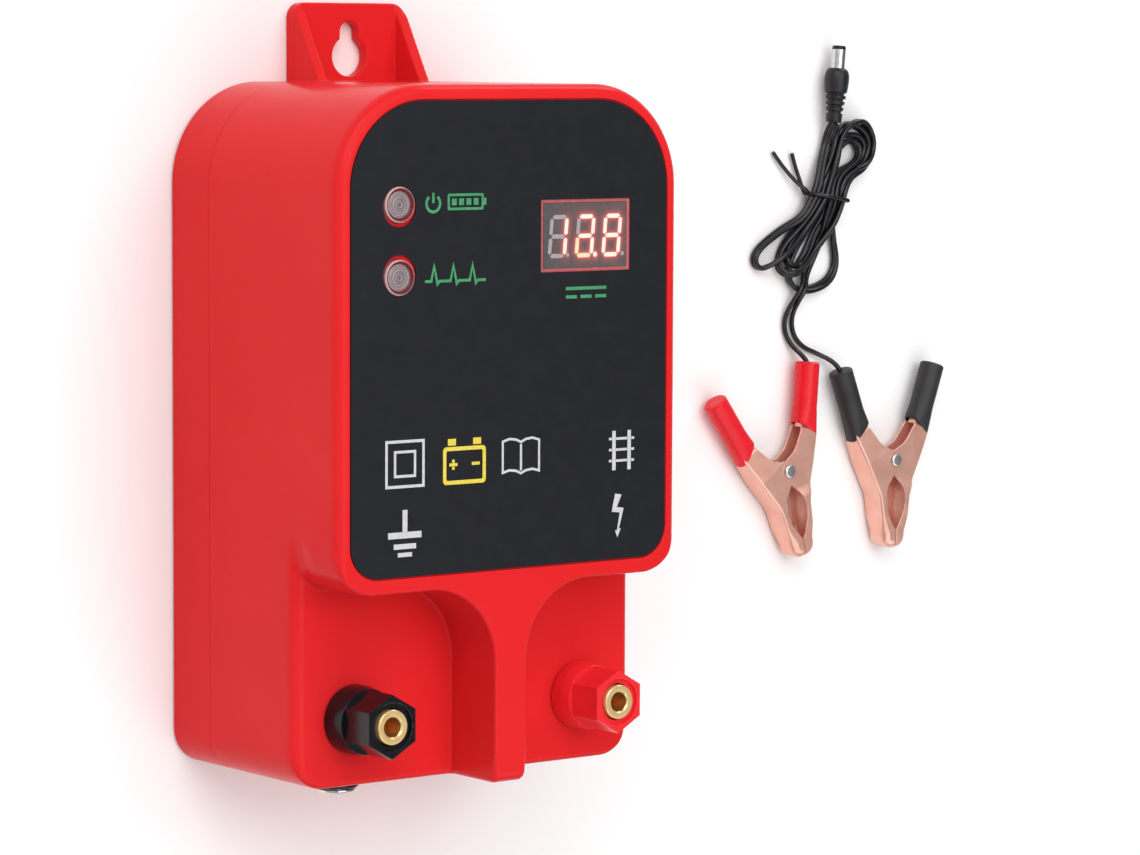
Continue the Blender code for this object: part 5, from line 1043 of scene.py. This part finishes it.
along = lambda d, x, y: (x + AXIS[0] * d, y + AXIS[1] * d)
ear = [(2.5 * math.cos(math.radians(a)), 2.5 * math.sin(math.radians(a))) for a in range(108, -81, -6)]
mouth = [tuple(p) for p in through([(-0.3, -3.5), (-2.35, -6.2), (-3.0, -9.2), (-2.65, -12.4), (-1.0, -16.0), (-0.12, -17.3)], 6)]
outer = fillet([(6.0, -21.9, 0), (-3.3, -21.9, 3.0), (-4.1, -14.6, 8.0), (-4.9, -8.6, 8.0), (-8.9, -0.6, 14.0), (-11.35, 4.7, 6.0), (*along(14.0, -11.6, 5.6), 0), (6.0, 24.0, 0)], 72)
inner = fillet([(*along(14.0, -7.4, 8.2), 0), (-7.3, 8.0, 4.0), (-4.2, 3.9, 6.0)] + [(x, y, 0) for x, y in ear + mouth] + [(-0.12, -30.0, 0), (-40.0, -30.0, 0), (-40.0, 20.0, 0)], 72)
reach = (-19.0, 6.0, -24.0, 22.0)
outer_plan, inner_plan = Plan(outer, *reach), Plan(inner, *reach)


def clip_half(raised):
    """Stamped half on the -X side: sheet cheeks, a bent web and a rounded nose. raised is its half height at the rivet."""

    def field(x, y, z):
        if x.ndim == 3:
            edge, plan = (p(x[:, :, 0], y[:, :, 0])[:, :, None] + 0 * z for p in (outer_plan, inner_plan))
        else:
            edge, plan = outer_plan(x, y), inner_plan(x, y)
        out = (x - MOUTH_AT[0]) * AXIS[0] + (y - MOUTH_AT[1]) * AXIS[1]
        tall = raised + (3.35 - raised) * ease((-4.8 - y) / 3.0)
        tall = tall + (2.3 - tall) * np.clip((out + 6.8) / 7.4, 0, 1) + (1.5 - 2.3) * ease((out - 0.6) / 1.2)
        across = np.abs((x - MOUTH_AT[0]) * AXIS[1] - (y - MOUTH_AT[1]) * AXIS[0])
        edge = np.where(out > -1.0, np.maximum(edge, across - 6.0 + 4.15 * ease((out - 0.4) / 1.0)), edge)
        bend = np.minimum(0.62 + 1.7 * ease((-13.5 - y) / 6.0), tall * 0.6)
        flat = np.abs(z - CLIP_MID) - tall
        shell = round_max(edge, flat, bend)
        hollow = round_max(edge + SHEET, flat + SHEET, np.maximum(bend - SHEET, 0.08))
        body = np.maximum(shell, -hollow)
        body = round_max(body, plan, 0.12)
        body = np.maximum(body, -(np.hypot(x, y) - 1.15))
        return np.maximum(body, out - 9.0)

    return contour(field, np.arange(-17.2, 3.2, 0.31), np.arange(-22.5, 17.6, 0.31), CLIP_MID + np.concatenate([-np.arange(0.1, 3.9, 0.27)[::-1], np.arange(0.1, 3.9, 0.27)]))


def clip_sleeve(side):
    """Vinyl sleeve with a slanted mouth, drawn oval over the arm and closed at its end."""
    rows, m = [], 48
    start = 0.75

    def ring(d, shrink, slant=0.0):
        wide = np.interp(d, [0.7, 4.0, 9.0, 17.0], [3.16, 3.0, 2.96, 3.0]) - shrink
        high = np.interp(d, [0.7, 4.0, 9.0, 17.0], [2.62, 2.82, 2.96, 3.0]) - shrink
        power = np.interp(d, [0.7, 6.0], [2.9, 2.0])
        row = []
        for k in range(m):
            c, s = math.cos(2 * math.pi * k / m), math.sin(2 * math.pi * k / m)
            u = wide * math.copysign(abs(c) ** (2 / power), c)
            v = high * math.copysign(abs(s) ** (2 / power), s)
            t = d - slant * u
            row.append((side * (9.4 + math.sin(LEAN) * t + math.cos(LEAN) * u), 6.8 + math.cos(LEAN) * t - math.sin(LEAN) * u, CLIP_MID + v))
        rows.append(row)

    ring(start + 2.2, 0.42, 0.5)
    ring(start + 0.1, 0.40, 0.5)
    ring(start, 0.3, 0.5)
    ring(start + 0.02, 0.1, 0.5)
    ring(start + 0.14, 0.0, 0.5)
    for d in np.linspace(1.6, 16.6, 22):
        ring(d, 0.0, 0.5 * max(0.0, 1 - (d - 1.0) / 5.0))
    for d, shrink in ((16.62, 0.04), (16.82, 0.16), (16.95, 0.36), (17.0, 0.62), (17.0, 1.2), (16.97, 2.0), (16.95, 2.8)):
        ring(d, shrink)
    points = np.array(rows).reshape(-1, 3)
    n = len(rows)
    order = 1 if side > 0 else -1
    faces = [(i * m + j, i * m + (j + 1) % m, (i + 1) * m + (j + 1) % m, (i + 1) * m + j)[::order] for i in range(n - 1) for j in range(m)]
    return points, faces + [tuple(range(m))[::-order], tuple(range((n - 1) * m, n * m))[::order]]


left_half, right_half = clip_half(3.35), clip_half(2.4)
right_half = (right_half[0] * (-1, 1, 1), right_half[1][:, ::-1])
rivet = turned(rounded([(0, 8.0), (1.25, 7.97, 0.2), (1.58, 7.78, 0.1), (1.6, 7.5, 0.05), (0.9, 7.5, 0), (0.9, 0.3, 0), (1.6, 0.3, 0.05), (1.55, 0.1, 0.08), (1.2, 0.02, 0.1), (0, 0.0)], 0.1, 3), 40)
coil = np.array([(2.9 * math.cos(a), 2.9 * math.sin(a) - 1.15, 2.45 + 2.9 * a / (7 * math.pi)) for a in np.linspace(0, 7 * math.pi, 211)])
spring = swept(coil, [(0.36 * math.cos(2 * math.pi * k / 10), 0.36 * math.sin(2 * math.pi * k / 10)) for k in range(10)])
for colour, at, turn, moving, vinyl, slot in (("red", (-14.3, -36.2), 16.1, -1, RED_VINYL, "red_vinyl"), ("black", (20.2, -35.3), 1.0, 1, BLACK_VINYL, "black_vinyl")):
    made = []
    for side, half in ((-1, left_half), (1, right_half)):
        role, body = ("moving", f"{colour}_jaw") if side == moving else ("fixed", "root")
        name = f"{colour}_clip_{role}_jaw"
        jaw = adopt(name + "_look", solid_mesh(name + "_look", lead(half[0], at, turn), half[1]), COPPER, body, [name], sharp=35)
        name = f"{colour}_clip_{role}_sleeve"
        points, faces = clip_sleeve(side)
        grip = piece(name + "_look", lead(points, at, turn), faces, vinyl, body, [name], slot, sharp=50, weighted=False)
        if role == "fixed":
            made += [jaw, grip]
    made.append(piece(f"{colour}_clip_rivet_look", lead(rivet[0], at, turn), rivet[1], ZINC, "root", [f"{colour}_clip_rivet"], "zinc_steel", sharp=45))
    made.append(piece(f"{colour}_clip_spring_look", lead(spring[0], at, turn), spring[1], ZINC, "root", [f"{colour}_clip_spring"], "zinc_steel", sharp=60, weighted=False))


def wire(name, route, node):
    """Single insulated wire as a round curve through its route."""
    route = through(route, 5)
    curve = bpy.data.curves.new(name, "CURVE")
    curve.dimensions = "3D"
    curve.bevel_depth = WIRE_R * 0.001
    curve.bevel_resolution = 4
    curve.use_fill_caps = True
    spline = curve.splines.new("POLY")
    spline.points.add(len(route) - 1)
    at = place(lead(route))
    for point, co in zip(spline.points, at):
        point.co = (*co, 1.0)
    spline.use_smooth = True
    curve.materials.append(CORD)
    obj = bpy.data.objects.new(name, curve)
    SCENE.collection.objects.link(obj)
    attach(obj, "root")
    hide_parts(node)
    return obj, at, float(np.linalg.norm(np.diff(at, axis=0), axis=1).sum())


plus, at, length = wire("positive_lead_wire", TAIL_TWO[:-1] + [(-10.2, 1.7, 0.9), (-10.7, -1.3, 0.66), (-10.0, -4.0, 0.7), (-8.7, -6.3, 1.25), (-7.3, -8.2, 2.7), (-6.35, -9.8, 3.7), (-6.05, -11.2, 3.9), (-6.15, -12.6, 3.9)], "positive_wire")
minus, at, length = wire("negative_lead_wire", TAIL_ONE[:-1] + [(-8.35, 1.2, 0.9), (-8.3, -1.9, 0.66), (-7.0, -4.7, 0.68), (-4.3, -6.9, 0.7), (-0.7, -8.5, 1.2), (2.3, -10.2, 2.8), (4.0, -12.0, 3.8), (4.75, -13.6, 3.9), (5.4, -15.2, 3.9)], "negative_wire")

# ------------------------------------------------------ materials of kept CAD nodes
KEPT = {
    "case_seal": RUBBER, "power_led": CLEAR, "shock_led": CLEAR, "display_board": BOARD, "main_board": BOARD,
    "earth_nut": BRASS, "output_nut": BRASS, "earth_washer": NICKEL, "output_washer": NICKEL,
    "earth_collar": BLACK, "output_collar": RED_KNOB, "dc_jack_pin": NICKEL, "dc_jack_nut": NICKEL,
    "transformer_core": IRON, "transformer_coil": WINDING, "charging_transformer": WINDING,
    "storage_capacitor": FILM, "thyristor": BLACK, "earth_wire": BLACK_VINYL, "output_wire": RED_VINYL, "supply_wire": BLACK_VINYL,
    **{f"case_screw_{k}": ZINC for k in range(1, 5)}, **{f"board_screw_{k}": ZINC for k in range(1, 5)},
}
for node, look in KEPT.items():
    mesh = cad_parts[node].data
    mesh.materials.clear()
    mesh.materials.append(look)

# ------------------------------------------------------------- floor, light, camera
floor_mesh = bpy.data.meshes.new("floor")
floor_mesh.from_pydata([(-3, -3, -0.0003), (3, -3, -0.0003), (3, 3, -0.0003), (-3, 3, -0.0003)], [], [(0, 1, 2, 3)])
floor = bpy.data.objects.new("floor", floor_mesh)
SCENE.collection.objects.link(floor)
floor_mesh.materials.append(surface("pale_floor", (0.95, 0.95, 0.95), (0.965, 0.965, 0.965), (0.6, 0.7), scale=6.0, grain=300.0, depth=0.0, specular=0.2))

world = bpy.data.worlds.new("studio")
SCENE.world = world
world.use_nodes = True
world.node_tree.nodes["Background"].inputs["Color"].default_value = (1.0, 1.0, 1.0, 1.0)
world.node_tree.nodes["Background"].inputs["Strength"].default_value = 0.18


def area(name, at, to, size, power):
    data = bpy.data.lights.new(name, "AREA")
    data.shape = "RECTANGLE"
    data.size, data.size_y = size
    data.energy = power
    obj = bpy.data.objects.new(name, data)
    SCENE.collection.objects.link(obj)
    obj.location = at
    obj.rotation_euler = (Vector(to) - Vector(at)).to_track_quat("-Z", "Y").to_euler()
    return obj


area("over", (0.105, 0.828, 1.279), (0.03, 0.0, 0.03), (1.5, 1.5), 9.1)
area("front", (0.03, 0.0, 1.53), (0.03, 0.0, 0.03), (1.2, 1.2), 7.5)
area("below", (-0.25, -1.05, 0.912), (0.03, 0.0, 0.03), (1.1, 1.1), 4.7)
area("left", (-1.158, 0.14, 0.757), (0.03, 0.0, 0.03), (1.1, 1.1), 1.9)
area("over_left", (-0.672, 0.842, 0.9), (0.03, 0.0, 0.03), (0.9, 0.9), 7.0)
area("below_right", (0.661, -0.911, 0.885), (0.03, 0.0, 0.03), (0.9, 0.9), 3.3)
area("strip", (0.769, 0.934, 0.176), (0.03, 0.0, 0.03), (0.35, 0.35), 2.2)

camera = bpy.data.objects.new("camera", bpy.data.cameras.new("camera"))
SCENE.collection.objects.link(camera)
camera.data.sensor_width = 36.0
camera.data.lens = 135.64
camera.data.clip_start, camera.data.clip_end = 0.01, 20.0
camera.matrix_world = Matrix((
    (0.79183, 0.05009, -0.60868, -0.547463),
    (0.00463, 0.99611, 0.08799, 0.074776),
    (0.61072, -0.07249, 0.78852, 0.793007),
    (0.0, 0.0, 0.0, 1.0),
))
SCENE.camera = camera
SCENE.view_settings.view_transform = "Standard"
SCENE.view_settings.look = "None"
